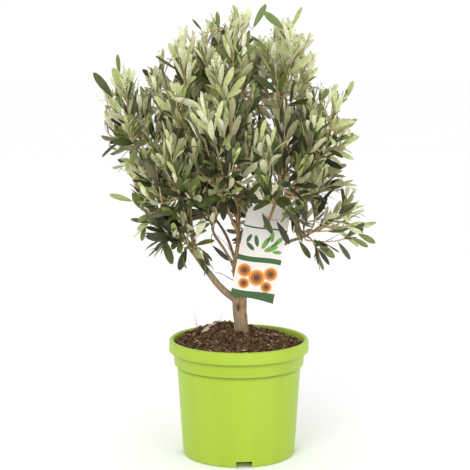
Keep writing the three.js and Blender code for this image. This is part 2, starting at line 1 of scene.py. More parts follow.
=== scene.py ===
"""A young olive tree in a lime green plastic pot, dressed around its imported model.

Metres, +Z up, seen at its best from -Y. The origin is the middle of the pot's flat underside.
Named lengths are in millimetres, where nothing else is said, and become metres where they are used.
"""

import json
import logging
import math
from collections.abc import Iterator, Sequence
from contextlib import contextmanager
from dataclasses import dataclass, field
from enum import Enum
from itertools import pairwise

import bpy
import numpy as np
from mathutils import Matrix, Quaternion, Vector, kdtree, noise

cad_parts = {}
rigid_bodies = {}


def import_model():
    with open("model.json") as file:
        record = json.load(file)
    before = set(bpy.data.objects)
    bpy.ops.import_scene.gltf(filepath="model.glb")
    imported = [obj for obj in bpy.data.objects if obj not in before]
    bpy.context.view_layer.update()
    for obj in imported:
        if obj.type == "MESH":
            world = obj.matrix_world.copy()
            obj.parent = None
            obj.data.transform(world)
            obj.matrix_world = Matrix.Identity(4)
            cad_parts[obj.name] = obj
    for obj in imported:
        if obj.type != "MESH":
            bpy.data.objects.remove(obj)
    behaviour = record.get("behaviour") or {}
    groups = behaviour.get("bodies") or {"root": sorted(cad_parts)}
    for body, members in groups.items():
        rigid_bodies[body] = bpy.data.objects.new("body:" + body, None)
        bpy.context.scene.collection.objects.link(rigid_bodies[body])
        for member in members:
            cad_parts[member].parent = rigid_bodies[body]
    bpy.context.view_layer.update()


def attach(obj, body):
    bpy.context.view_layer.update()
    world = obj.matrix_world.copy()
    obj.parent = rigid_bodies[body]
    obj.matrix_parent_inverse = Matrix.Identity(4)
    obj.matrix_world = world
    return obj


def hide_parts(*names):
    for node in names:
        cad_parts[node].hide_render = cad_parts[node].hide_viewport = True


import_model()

LOG = logging.getLogger("olive")
MM = 0.001
BODY = "root"
GOLDEN_ANGLE = math.pi * (3 - math.sqrt(5))
UP = Vector((0, 0, 1))

Range = tuple[float, float]
Point = tuple[float, float, float]
Colour = tuple[float, float, float]
Blot = tuple[float, float, float, float, float]
Socket = bpy.types.NodeSocket
Material = bpy.types.Material
Piece = bpy.types.Object


class Slot(Enum):
    """The record's material slots."""

    POT = "pot"
    SOIL = "soil"
    BARK = "bark"
    FOLIAGE = "foliage"
    CARD = "card"


def lerp(start: float, end: float, share: float) -> float:
    """The number at a share of the way from one number to another."""
    return start + (end - start) * share


def limited(value: float) -> float:
    """A number kept between 0 and 1."""
    return min(1.0, max(0.0, value))


def smoothstep(value: float, low: float, high: float) -> float:
    """A smooth rise from 0 at low to 1 at high."""
    share = limited((value - low) / (high - low))
    return share * share * (3 - 2 * share)


def metres(point: Sequence[float]) -> Vector:
    """A point in millimetres as a vector in metres."""
    return Vector(point) * MM


def square_to(way: Vector, wanted: Vector) -> Vector:
    """The direction nearest to a wanted one that stands square to another direction."""
    return (wanted - way * wanted.dot(way)).normalized()


def linear(*parts: int) -> Colour:
    """A screen colour's parts, 0 to 255, by the usual screen curve as the linear ones of shaders."""
    shares = [part / 255 for part in parts]
    return tuple(share / 12.92 if share <= 0.04045 else ((share + 0.055) / 1.055) ** 2.4 for share in shares)


class Dice:
    """A repeatable stream of numbers from 0 to 1, by a small 32-bit mixer."""

    STEP = 0x6D2B79F5
    MASK = 0xFFFFFFFF

    def __init__(self, seed: int) -> None:
        """Starts the stream at a seed."""
        self.state = seed & self.MASK

    def roll(self) -> float:
        """The next number of the stream.

        Returns:
            A number from 0 to 1.
        """
        self.state = (self.state + self.STEP) & self.MASK
        mixed = ((self.state ^ (self.state >> 15)) * (self.state | 1)) & self.MASK
        mixed ^= (mixed + ((mixed ^ (mixed >> 7)) * (mixed | 61))) & self.MASK
        return ((mixed ^ (mixed >> 14)) & self.MASK) / (self.MASK + 1)

    def between(self, low: float, high: float) -> float:
        """A number between two others."""
        return lerp(low, high, self.roll())

    def way(self) -> Vector:
        """A direction, evenly over the sphere.

        Returns:
            The direction, of length 1.
        """
        height = self.between(-1, 1)
        turn = self.between(0, math.tau)
        flat = math.sqrt(1 - height * height)
        return Vector((flat * math.cos(turn), flat * math.sin(turn), height))


def select_only(piece: Piece) -> None:
    """Makes a piece the active one, and the only one selected.

    Args:
        piece: The piece.
    """
    bpy.ops.object.select_all(action="DESELECT")
    piece.select_set(True)
    bpy.context.view_layer.objects.active = piece


@contextmanager
def edit_mode(piece: Piece) -> Iterator[None]:
    """Edits a piece's mesh, with all of it selected at first.

    Args:
        piece: The mesh object to edit.

    Yields:
        Nothing. Object mode is back afterwards.
    """
    select_only(piece)
    bpy.ops.object.mode_set(mode="EDIT")
    bpy.ops.mesh.select_all(action="SELECT")
    yield
    bpy.ops.object.mode_set(mode="OBJECT")


def finish_with(piece: Piece, kind: str, **settings: object) -> None:
    """Adds one modifier to a piece and applies it.

    Args:
        piece: The object that it shapes.
        kind: The modifier's type.
        **settings: Its settings, by name.
    """
    modifier = piece.modifiers.new(kind.title(), kind)
    for name, value in settings.items():
        setattr(modifier, name, value)
    select_only(piece)
    bpy.ops.object.modifier_apply(modifier=modifier.name)


def cut_by(piece: Piece, cutter: Piece) -> None:
    """Cuts another solid out of a piece, and removes that solid."""
    finish_with(piece, "BOOLEAN", object=cutter, operation="DIFFERENCE", solver="EXACT")
    bpy.data.objects.remove(cutter)


def face_outwards(piece: Piece) -> None:
    """Merges a closed mesh's doubles and turns its faces outwards.

    Args:
        piece: The object with the mesh.
    """
    with edit_mode(piece):
        bpy.ops.mesh.remove_doubles(threshold=1e-6)
        bpy.ops.mesh.normals_make_consistent(inside=False)


def smooth_by_angle(piece: Piece, degrees: float) -> None:
    """Shades a piece smooth, apart from edges sharper than an angle."""
    select_only(piece)
    bpy.ops.object.shade_smooth_by_angle(angle=math.radians(degrees))


def name_piece(piece: Piece, name: str, slot: Slot, *materials: Material) -> None:
    """Gives a piece its name, materials and body.

    Args:
        piece: The finished object.
        name: Its name, which its mesh takes too.
        slot: The record's slot for the piece; not used.
        *materials: The materials of its mesh, in order.
    """
    piece.name = name
    piece.data.name = name
    indices = [face.material_index for face in piece.data.polygons]
    piece.data.materials.clear()
    for material in materials:
        piece.data.materials.append(material)
    piece.data.polygons.foreach_set("material_index", indices)
    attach(piece, BODY)


def report(piece: Piece) -> None:
    """Logs a piece's name and how many triangles it has."""
    piece.data.calc_loop_triangles()
    LOG.info("%s: %d triangles", piece.name, len(piece.data.loop_triangles))


class Cluster:
    """Many small closed shapes, gathered and then joined into one mesh."""

    def __init__(self) -> None:
        """Starts with no shapes."""
        self.vertices: list[np.ndarray] = []
        self.faces: list[np.ndarray] = []
        self.materials: list[np.ndarray] = []
        self.count = 0

    def add(self, vertices: np.ndarray, faces: np.ndarray, material: np.ndarray | int = 0) -> None:
        """Adds one shape.

        Args:
            vertices: Its points, one a row, in metres.
            faces: Its triangles, as rows of three numbers of its own points.
            material: The material number of each triangle, or one for them all.
        """
        self.vertices.append(np.asarray(vertices, float))
        self.faces.append(np.asarray(faces, int) + self.count)
        self.materials.append(np.broadcast_to(material, len(faces)))
        self.count += len(vertices)

    def add_tube(self, points: Sequence[Vector], radii: Sequence[float], sides: int,
                 material: int = 0) -> None:
        """Adds a closed round tube along some points.

        Args:
            points: Its middle line.
            radii: Its radius at each point.
            sides: How many sides it has.
            material: Its material's number.
        """
        side = (points[1] - points[0]).normalized().orthogonal().normalized()
        vertices = [points[0]]
        for i, (point, radius) in enumerate(zip(points, radii)):
            ahead = (points[min(i + 1, len(points) - 1)] - points[max(i - 1, 0)]).normalized()
            side = square_to(ahead, side)
            other = ahead.cross(side)
            for k in range(sides):
                turn = math.tau * k / sides
                vertices.append(point + (side * math.cos(turn) + other * math.sin(turn)) * radius)
        vertices.append(points[-1])
        last = 1 + (len(points) - 1) * sides
        faces = []
        for k in range(sides):
            after = (k + 1) % sides
            faces.append((0, 1 + after, 1 + k))
            for low in range(1, last, sides):
                high = low + sides
                faces.append((low + k, low + after, high + after))
                faces.append((low + k, high + after, high + k))
            faces.append((last + k, last + after, len(vertices) - 1))
        self.add(np.array(vertices), np.array(faces), material)

    def joined(self, name: str, slot: Slot, *materials: Material) -> Piece:
        """Joins all the shapes as one smooth piece.

        Args:
            name: The piece's name.
            slot: The record's slot that it takes its finish from.
            *materials: Its materials, in order.

        Returns:
            The finished piece.
        """
        vertices = np.concatenate(self.vertices)
        faces = np.concatenate(self.faces)
        mesh = bpy.data.meshes.new(name)
        mesh.vertices.add(len(vertices))
        mesh.vertices.foreach_set("co", vertices.astype(np.float32).ravel())
        mesh.loops.add(faces.size)
        mesh.loops.foreach_set("vertex_index", faces.astype(np.int32).ravel())
        mesh.polygons.add(len(faces))
        mesh.polygons.foreach_set("loop_start", np.arange(0, faces.size, 3, dtype=np.int32))
        mesh.polygons.foreach_set("material_index", np.concatenate(self.materials).astype(np.int32))
        mesh.update(calc_edges=True)
        mesh.validate()
        piece = bpy.data.objects.new(name, mesh)
        bpy.context.scene.collection.objects.link(piece)
        name_piece(piece, name, slot, *materials)
        return piece


class Line:
    """A line through space that is read by its share of length, from 0 to 1."""

    FINENESS = 24
    HALF_STEP = 0.01

    def __init__(self, points: Sequence[Vector]) -> None:
        """Measures a fine polyline.

        Args:
            points: Its points.
        """
        self.points = [Vector(point) for point in points]
        steps = [(b - a).length for a, b in pairwise(self.points)]
        self.marks = np.concatenate([[0.0], np.cumsum(steps)])
        self.length = float(self.marks[-1])
        self.marks /= self.length

    @classmethod
    def smooth(cls, points: Sequence[Vector]) -> "Line":
        """A smooth line through points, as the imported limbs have.

        Args:
            points: The points that it passes.

        Returns:
            The line.
        """
        ends = [2 * points[0] - points[1], *points, 2 * points[-1] - points[-2]]
        made = []
        for a, b, c, d in zip(ends, ends[1:], ends[2:], ends[3:]):
            for t in np.arange(cls.FINENESS) / cls.FINENESS:
                made.append(0.5 * (2 * b + (c - a) * t + (2 * a - 5 * b + 4 * c - d) * t * t
                                   + (3 * b - a - 3 * c + d) * t**3))
        return cls([*made, points[-1]])

    @classmethod
    def bowed(cls, start: Vector, bend: Vector, end: Vector, fineness: int = 12) -> "Line":
        """A line of so many steps from start to end, drawn towards a bend."""
        shares = [step / fineness for step in range(fineness + 1)]
        return cls([start.lerp(bend, t).lerp(bend.lerp(end, t), t) for t in shares])

    def at(self, share: float) -> Vector:
        """The point at a share of the length.

        Args:
            share: The share, from 0 to 1.

        Returns:
            The point, in metres.
        """
        share = limited(share)
        after = min(int(np.searchsorted(self.marks, share)), len(self.points) - 1)
        before = max(0, after - 1)
        span = self.marks[after] - self.marks[before]
        part = (share - self.marks[before]) / span if span > 0 else 0
        return self.points[before].lerp(self.points[after], part)

    def along(self, share: float) -> Vector:
        """The direction at a share of the length."""
        return (self.at(share + self.HALF_STEP) - self.at(share - self.HALF_STEP)).normalized()

    def spaced(self, count: int) -> list[Vector]:
        """Points at even distances, both ends among them."""
        return [self.at(i / (count - 1)) for i in range(count)]


class Surface:
    """A material's nodes, round one Principled shader, on the piece's own coordinates."""

    COLOUR_INPUTS = (6, 7)
    COLOUR_OUTPUT = 2

    def __init__(self, name: str, roughness: float, gloss: float) -> None:
        """Makes the material.

        Args:
            name: The material's name.
            roughness: Its roughness.
            gloss: How strongly it mirrors, from 0 to 1.
        """
        self.material = bpy.data.materials.new(name)
        self.material.use_nodes = True
        self.tree = self.material.node_tree
        self.shader = self.tree.nodes["Principled BSDF"]
        self.shader.inputs["Roughness"].default_value = roughness
        self.shader.inputs["Specular IOR Level"].default_value = gloss
        self.place = self.tree.nodes.new("ShaderNodeTexCoord")

    def node(self, kind: str, **settings: object) -> bpy.types.Node:
        """Adds a node.

        Args:
            kind: Its type, without the ShaderNode before it.
            **settings: Its properties, or the values of its sockets, by name.

        Returns:
            The node.
        """
        made = self.tree.nodes.new("ShaderNode" + kind)
        for name, value in settings.items():
            if hasattr(made, name):
                setattr(made, name, value)
            else:
                made.inputs[name.replace("_", " ")].default_value = value
        return made

    def feed(self, target: Socket, value: Socket | float | Colour) -> None:
        """Gives a socket its value.

        Args:
            target: The socket.
            value: A number or a colour, or the socket that it is linked to.
        """
        if isinstance(value, Socket):
            self.tree.links.new(value, target)
        else:
            target.default_value = (*value, 1) if isinstance(value, tuple) else value

    def spots(self, scale: float, detail: float = 3, stretch: Point = (1, 1, 1)) -> Socket:
        """Soft random spots.

        Args:
            scale: Spots to the metre.
            detail: How many finer layers they have.
            stretch: How much they are squeezed along X, Y and Z.

        Returns:
            A number from 0 to 1.
        """
        mapping = self.node("Mapping", Scale=stretch)
        self.feed(mapping.inputs["Vector"], self.place.outputs["Object"])
        texture = self.node("TexNoise", Scale=scale, Detail=detail)
        self.feed(texture.inputs["Vector"], mapping.outputs["Vector"])
        return texture.outputs["Fac"]

    def ramp(self, amount: Socket, *stops: tuple[float, Colour]) -> Socket:
        """Colours dealt out by a number.

        Args:
            amount: The number.
            *stops: Places from 0 to 1, each with its colour.

        Returns:
            The colour.
        """
        made = self.node("ValToRGB")
        elements = made.color_ramp.elements
        while len(elements) < len(stops):
            elements.new(0.5)
        for element, (position, colour) in zip(elements, stops):
            element.position = position
            element.color = (*colour, 1)
        self.feed(made.inputs["Fac"], amount)
        return made.outputs["Color"]

    def mix(self, amount: Socket, first: Socket | Colour, second: Socket | Colour) -> Socket:
        """A colour between two others.

        Args:
            amount: 0 for the first, 1 for the second.
            first: A colour, or the socket of one.
            second: A colour, or the socket of one.

        Returns:
            The mixed colour.
        """
        made = self.node("Mix", data_type="RGBA")
        self.feed(made.inputs["Factor"], amount)
        for number, colour in zip(self.COLOUR_INPUTS, (first, second)):
            self.feed(made.inputs[number], colour)
        return made.outputs[self.COLOUR_OUTPUT]

    def calc(self, operation: str, first: Socket | float, second: Socket | float = 0.0) -> Socket:
        """A sum, product or comparison of two numbers.

        Args:
            operation: The Math node's operation.
            first: A number, or the socket of one.
            second: A number, or the socket of one.

        Returns:
            The result.
        """
        made = self.node("Math", operation=operation)
        for socket, value in zip(made.inputs, (first, second)):
            self.feed(socket, value)
        return made.outputs[0]

    def slope(self, number: Socket, start: float, gain: float) -> Socket:
        """How far a number is past a start, times a gain, kept between 0 and 1."""
        past = self.calc("MULTIPLY", self.calc("SUBTRACT", number, start), gain)
        return self.calc("MINIMUM", self.calc("MAXIMUM", past, 0), 1)

    def parts(self, source: str) -> tuple[Socket, ...]:
        """The three parts of the coordinates.

        Args:
            source: "Object" for metres from the pot's foot, "UV" for the piece's own map.

        Returns:
            X, Y and Z.
        """
        split = self.node("SeparateXYZ")
        self.feed(split.inputs[0], self.place.outputs[source])
        return tuple(split.outputs)

    def bump(self, height: Socket, strength: float, depth: float) -> None:
        """Raises the surface by a number.

        Args:
            height: The number.
            strength: How strongly it shows, from 0 to 1.
            depth: Its depth in metres.
        """
        made = self.node("Bump", Strength=strength, Distance=depth)
        self.feed(made.inputs["Height"], height)
        self.feed(self.shader.inputs["Normal"], made.outputs["Normal"])

    def colour(self, source: Socket) -> Material:
        """Sets the base colour and gives the finished material."""
        self.feed(self.shader.inputs["Base Color"], source)
        return self.material


@dataclass(frozen=True)
class PotPlastic:
    """Lime green moulded plastic with a soft sheen, and a painted shade in the corners under its steps."""

    light: Colour = linear(163, 191, 54)
    deep: Colour = linear(157, 185, 46)
    # The painted shade under the steps: its colour, how far down it fades, how far past each step it
    # reaches, and how sharply it falls off.
    painted_shade: Colour = linear(96, 124, 12)
    painted_shade_fade: float = 7
    painted_shade_overlap: float = 0.3
    painted_shade_power: float = 2.5
    roughness: float = 0.42

    def material(self, steps: Sequence[float]) -> Material:
        """The plastic, with faint upright flow marks, a fine grain and a painted shade under its steps.

        Args:
            steps: The heights of the steps, in millimetres.

        Returns:
            The material.
        """
        surface = Surface("pot_plastic", self.roughness, gloss=0.4)
        streaks = surface.spots(scale=26, detail=2, stretch=(1, 1, 0.08))
        surface.bump(surface.spots(scale=900, detail=2), strength=0.08, depth=0.0004)
        plastic = surface.ramp(streaks, (0.35, self.deep), (0.65, self.light))
        _, _, height = surface.parts("Object")
        # Painted shade: the green darkens over a few millimetres up to each step, just below the rim and the
        # collar, where their shadow falls.
        for step in steps:
            near = surface.slope(height, (step - self.painted_shade_fade) * MM, 1 / (self.painted_shade_fade * MM))
            under = surface.calc("LESS_THAN", height, (step + self.painted_shade_overlap) * MM)
            near = surface.calc("MULTIPLY", surface.calc("POWER", near, self.painted_shade_power), under)
            plastic = surface.mix(near, plastic, self.painted_shade)
        return surface.colour(plastic)


@dataclass(frozen=True)
class Peat:
    """Dark crumbly peat soil: its tones, and where each lies on the spots."""

    dark: Colour = linear(40, 28, 18)
    middle: Colour = linear(82, 61, 44)
    light: Colour = linear(130, 104, 78)
    stops: Point = (0.36, 0.54, 0.72)
    roughness: float = 0.95

    def material(self, name: str, shift: float = 0.0) -> Material:
        """The soil's surface.

        Args:
            name: The material's name.
            shift: How much lighter it is, from 0.

        Returns:
            The material.
        """
        surface = Surface(name, self.roughness, gloss=0.15)
        patches = surface.spots(scale=170, detail=6)
        surface.bump(surface.spots(scale=900, detail=5), strength=0.9, depth=0.0009)
        tones = (self.dark, self.middle, self.light)
        stops = [(place - shift, tone) for place, tone in zip(self.stops, tones)]
        return surface.colour(surface.ramp(patches, *stops))


@dataclass(frozen=True)
class YoungBark:
    """The bark of a young trunk: tan, with grey patches and fine cracks along it."""

    tan: Colour = linear(168, 139, 100)
    brown: Colour = linear(112, 85, 58)
    grey: Colour = linear(142, 130, 108)
    stain: Colour = linear(92, 68, 48)
    stain_top: float = 206.0
    stain_gain: float = 45.0
    scar_at: Point = (-1.5, -10.5, 232)
    scar_size: float = 4.2
    scar_squeeze: float = 0.45
    scar_edge: float = 1.35
    scar_gain: float = 3.0
    roughness: float = 0.8

    def material(self) -> Material:
        """The bark, stained by soil at its foot, with one dark scar on the trunk.

        Returns:
            The material.
        """
        surface = Surface("bark", self.roughness, gloss=0.25)
        cracks = surface.spots(scale=420, detail=5, stretch=(1, 1, 0.16))
        patches = surface.spots(scale=48, stretch=(1, 1, 0.5))
        surface.bump(cracks, strength=0.5, depth=0.0006)
        wood = surface.ramp(cracks, (0.38, self.brown), (0.56, self.tan))
        grey = surface.ramp(patches, (0.5, (0, 0, 0)), (0.68, (1, 1, 1)))
        wood = surface.mix(grey, wood, self.grey)
        _, _, height = surface.parts("Object")
        low = surface.slope(height, self.stain_top * MM, -self.stain_gain)
        wood = surface.mix(surface.calc("MULTIPLY", low, patches), wood, self.stain)
        squeeze = Vector((1, 1, self.scar_squeeze))
        squeezed = surface.node("Mapping", Scale=squeeze)
        surface.feed(squeezed.inputs["Vector"], surface.place.outputs["Object"])
        away = surface.node("VectorMath", operation="DISTANCE")
        surface.feed(away.inputs[0], squeezed.outputs["Vector"])
        away.inputs[1].default_value = metres(self.scar_at) * squeeze
        near = surface.calc("DIVIDE", away.outputs["Value"], self.scar_size * MM)
        scar = surface.slope(surface.calc("ADD", near, cracks), self.scar_edge, -self.scar_gain)
        return surface.colour(surface.mix(scar, wood, self.stain))


@dataclass(frozen=True)
class TwigSkin:
    """The skin of twigs, from green shoots to grey wood."""

    name: str
    light: Colour
    dark: Colour
    roughness: float = 0.7

    def material(self) -> Material:
        """The skin, with soft spots along it.

        Returns:
            The material.
        """
        surface = Surface(self.name, self.roughness, gloss=0.3)
        spots = surface.spots(scale=300)
        surface.bump(spots, strength=0.4, depth=0.0003)
        return surface.colour(surface.ramp(spots, (0.35, self.dark), (0.65, self.light)))


@dataclass(frozen=True)
class LeafSkin:
    """One face of a leaf."""

    name: str
    base: Colour
    roughness: float
    mottling: float = 0.16

    def material(self) -> Material:
        """The skin, leathery and faintly mottled.

        Returns:
            The material.
        """
        surface = Surface(self.name, self.roughness, gloss=0.35)
        spots = surface.spots(scale=260)
        surface.bump(surface.spots(scale=1400, detail=2), strength=0.25, depth=0.0002)
        dark = tuple(part * (1 - self.mottling) for part in self.base)
        light = tuple(min(1.0, part * (1 + self.mottling)) for part in self.base)
        return surface.colour(surface.ramp(spots, (0.3, dark), (0.7, light)))


LEAF_ROUGHNESS = (0.46, 0.66)


class Tint(Enum):
    """The leaf tints of the crown, youngest first, each with the colours of its two faces; the darkest,
    SHADED, is painted shade.
    """

    NEW = ((192, 200, 138), (228, 228, 192))
    YOUNG = ((158, 167, 103), (214, 213, 174))
    MATURE = ((107, 120, 59), (194, 191, 149))
    OLD = ((70, 81, 37), (154, 150, 112))
    # Painted shade: the darkest tint, for leaves deep in the crown and low down.
    SHADED = ((50, 54, 28), (104, 100, 72))

    def materials(self) -> list[Material]:
        """The finishes of the upper side, which shines a little more, and of the under side."""
        sides = zip(("upper", "under"), self.value, LEAF_ROUGHNESS)
        return [LeafSkin(f"leaf_{self.name.lower()}_{side}", linear(*colour), roughness).material()
                for side, colour, roughness in sides]


@dataclass(frozen=True)
class CardPrint:
    """The card's print: green bands and plain amber discs on a pale ground.

    Places are in millimetres on the card: across from its middle, and up from its foot. A leaf
    has its place, its half length and half width, and how far it is turned. The bands' edges
    rise and fall as one wave.
    """

    paper: Colour = linear(232, 228, 222)
    paper_back: Colour = linear(224, 220, 212)
    green: Colour = linear(54, 92, 40)
    leaf_green: Colour = linear(112, 162, 60)
    amber: Colour = linear(222, 148, 52)
    ochre: Colour = linear(164, 92, 36)
    umber: Colour = linear(84, 58, 36)
    bands: tuple[Range, ...] = ((-4, 14), (60, 68), (112, 114.5))
    wave_pitch: float = 0.07
    wave_height: float = 1.6
    discs: tuple[Point, ...] = (
        (1, 36, 12.5), (-19.5, 44, 10.5), (21, 45, 10.5), (-17, 24, 8.5), (18, 24, 8.5))
    core_share: float = 0.7
    seed_share: float = 0.36
    roughness: float = 0.38
    back_roughness: float = 0.5
    leaves: tuple[Blot, ...] = (
        (14, 84, 11, 4, 0.5), (4, 91, 10, 3.6, 1.2), (23, 97, 9, 3.4, 0.9),
        (12, 103, 9, 3.2, 1.7), (24, 80, 7, 2.8, 0.1))
    dark_leaves: tuple[Blot, ...] = (
        (-18, 82, 8, 3.2, 2.5), (-10, 92, 9, 3.2, 1.9), (-22, 94, 7, 2.8, 1.2),
        (18, 91, 7, 1.6, 0.7), (8, 97, 6, 1.5, 1.4))

    def inside(self, surface: Surface, u: Socket, v: Socket, blots: Sequence[Blot]) -> Socket:
        """Where any of some blots lies.

        Args:
            surface: The material in the making.
            u: Millimetres across.
            v: Millimetres up.
            blots: The blots.

        Returns:
            1 inside a blot and 0 elsewhere.
        """
        found: Socket | float = 0.0
        for across, up, long, wide, turn in blots:
            x, y = surface.calc("SUBTRACT", u, across), surface.calc("SUBTRACT", v, up)
            cosine, sine = math.cos(turn), math.sin(turn)
            away: Socket | float = 0.0
            for a, b, size in ((cosine, sine, long), (-sine, cosine, wide)):
                part = surface.calc("ADD", surface.calc("MULTIPLY", x, a / size),
                                    surface.calc("MULTIPLY", y, b / size))
                away = surface.calc("ADD", surface.calc("MULTIPLY", part, part), away)
            found = surface.calc("MAXIMUM", surface.calc("LESS_THAN", away, 1.0), found)
        return found

    def material(self) -> Material:
        """The printed face of the card.

        Returns:
            The material.
        """
        surface = Surface("card_print", self.roughness, gloss=0.5)
        u, v = (surface.calc("MULTIPLY", part, 1 / MM) for part in surface.parts("UV")[:2])
        wave = surface.calc("SINE", surface.calc("MULTIPLY", u, self.wave_pitch))
        lifted = surface.calc("SUBTRACT", v, surface.calc("MULTIPLY", wave, self.wave_height))
        colour = self.paper
        for low, high in self.bands:
            here = surface.calc("MULTIPLY", surface.calc("GREATER_THAN", lifted, low),
                                surface.calc("LESS_THAN", lifted, high))
            colour = surface.mix(here, colour, self.green)
        rounds = [[(x, y, radius * share, radius * share, 0) for x, y, radius in self.discs]
                  for share in (1, self.core_share, self.seed_share)]
        shapes = (*rounds, self.leaves, self.dark_leaves)
        inks = (self.amber, self.ochre, self.umber, self.leaf_green, self.green)
        for blots, ink in zip(shapes, inks):
            colour = surface.mix(self.inside(surface, u, v, blots), colour, ink)
        return surface.colour(colour)

    def back(self) -> Material:
        """The bare back and edges of the card."""
        surface = Surface("card_back", self.back_roughness, gloss=0.5)
        return surface.colour(surface.mix(surface.spots(scale=120), self.paper, self.paper_back))


@dataclass
class Leaf:
    """One leaf: where it sits, which way it goes and looks, and its size, bend and twist. Metres.

    Its stations are shares of its length, each with its share of the width.
    """

    root: Vector
    way: Vector
    face: Vector
    length: float
    width: float
    bend: float
    twist: float
    tint: Tint

    STATIONS = ((0.06, 0.1), (0.16, 0.38), (0.34, 0.76), (0.56, 1.0), (0.77, 0.92), (0.93, 0.52))
    THICKNESS = 0.55 * MM
    EDGE_THICKNESS = 0.4
    FOLD = 0.16
    STRAIGHT = 1e-3
    FAR = 0.78

    def frame_at(self, share: float) -> tuple[Vector, Vector, Vector]:
        """Where the midrib is at a share of the length, and how the blade lies there.

        Args:
            share: The share, from 0 at the root to 1 at the tip.

        Returns:
            The place, the way across the blade, and the way that its upper side looks.
        """
        angle = self.bend * share
        if abs(self.bend) < self.STRAIGHT:
            place = self.root + self.way * (self.length * share)
        else:
            radius = self.length / self.bend
            place = (self.root + self.way * (radius * math.sin(angle))
                     - self.face * (radius * (1 - math.cos(angle))))
        face = self.face * math.cos(angle) + self.way * math.sin(angle)
        across = self.way.cross(self.face)
        cosine, sine = math.cos(self.twist * share), math.sin(self.twist * share)
        return place, across * cosine + face * sine, face * cosine - across * sine

    def corners(self) -> np.ndarray:
        """What is looked at in tests of room.

        Returns:
            Its tip, both its widest points and a point on the way to its tip, one a row.
        """
        tip, _, _ = self.frame_at(1)
        middle, across, _ = self.frame_at(0.5)
        far, _, _ = self.frame_at(self.FAR)
        half = across * (self.width / 2)
        return np.array([tip, middle + half, middle - half, far])

    def add_to(self, cluster: Cluster) -> None:
        """Adds the leaf to a cluster: a thin closed blade, its upper faces material 0.

        Args:
            cluster: The cluster.
        """
        vertices = [self.root]
        for share, wide in self.STATIONS:
            place, across, face = self.frame_at(share)
            half = self.width / 2 * wide
            edge = face * (half * self.FOLD)
            thick = face * (self.THICKNESS / 2 * lerp(self.EDGE_THICKNESS, 1, wide))
            vertices += [place - across * half + edge, place + thick,
                         place + across * half + edge, place - thick]
        vertices.append(self.frame_at(1)[0])
        cluster.add(np.array(vertices), LEAF_FACES, LEAF_SIDES)


def leaf_faces() -> tuple[np.ndarray, np.ndarray]:
    """The faces of a leaf's blade, which has a left, top, right and under corner at each station.

    Returns:
        The triangles, and 0 or 1 for each as it looks up or down.
    """
    upper_under = (0, 0, 1, 1)
    corners = [(k, (k + 1) % 4) for k in range(4)]
    tip = 1 + 4 * len(Leaf.STATIONS)
    last = tip - 4
    faces, sides = [], []
    for start in range(1, last, 4):
        for (k, after), side in zip(corners, upper_under):
            near, next_near = start + k, start + after
            faces += [(near, next_near, next_near + 4), (near, next_near + 4, near + 4)]
            sides += [side, side]
    faces += [(0, 1 + after, 1 + k) for k, after in corners]
    faces += [(last + k, last + after, tip) for k, after in corners]
    sides += [*upper_under, *upper_under]
    return np.array(faces), np.array(sides)


LEAF_FACES, LEAF_SIDES = leaf_faces()


def raised_round(profile: Sequence[Range], sides: int) -> Piece:
    """A round solid: a disc that is extruded and resized from point to point of a profile.

    Args:
        profile: Radii and heights in millimetres, from the middle of its start to its end.
        sides: How many sides it has.

    Returns:
        The solid, with its last face still open for more work.
    """
    radius, height = profile[0]
    bpy.ops.mesh.primitive_circle_add(
        vertices=sides, radius=radius * MM, fill_type="NGON", location=(0, 0, height * MM))
    piece = bpy.context.object
    with edit_mode(piece):
        for (radius, height), (next_radius, next_height) in pairwise(profile):
            step = (0, 0, (next_height - height) * MM)
            bpy.ops.mesh.extrude_region_move(TRANSFORM_OT_translate={"value": step})
            grown = next_radius / radius
            bpy.ops.transform.resize(value=(grown, grown, 1), center_override=(0, 0, next_height * MM))
    bpy.ops.object.transform_apply()
    return piece


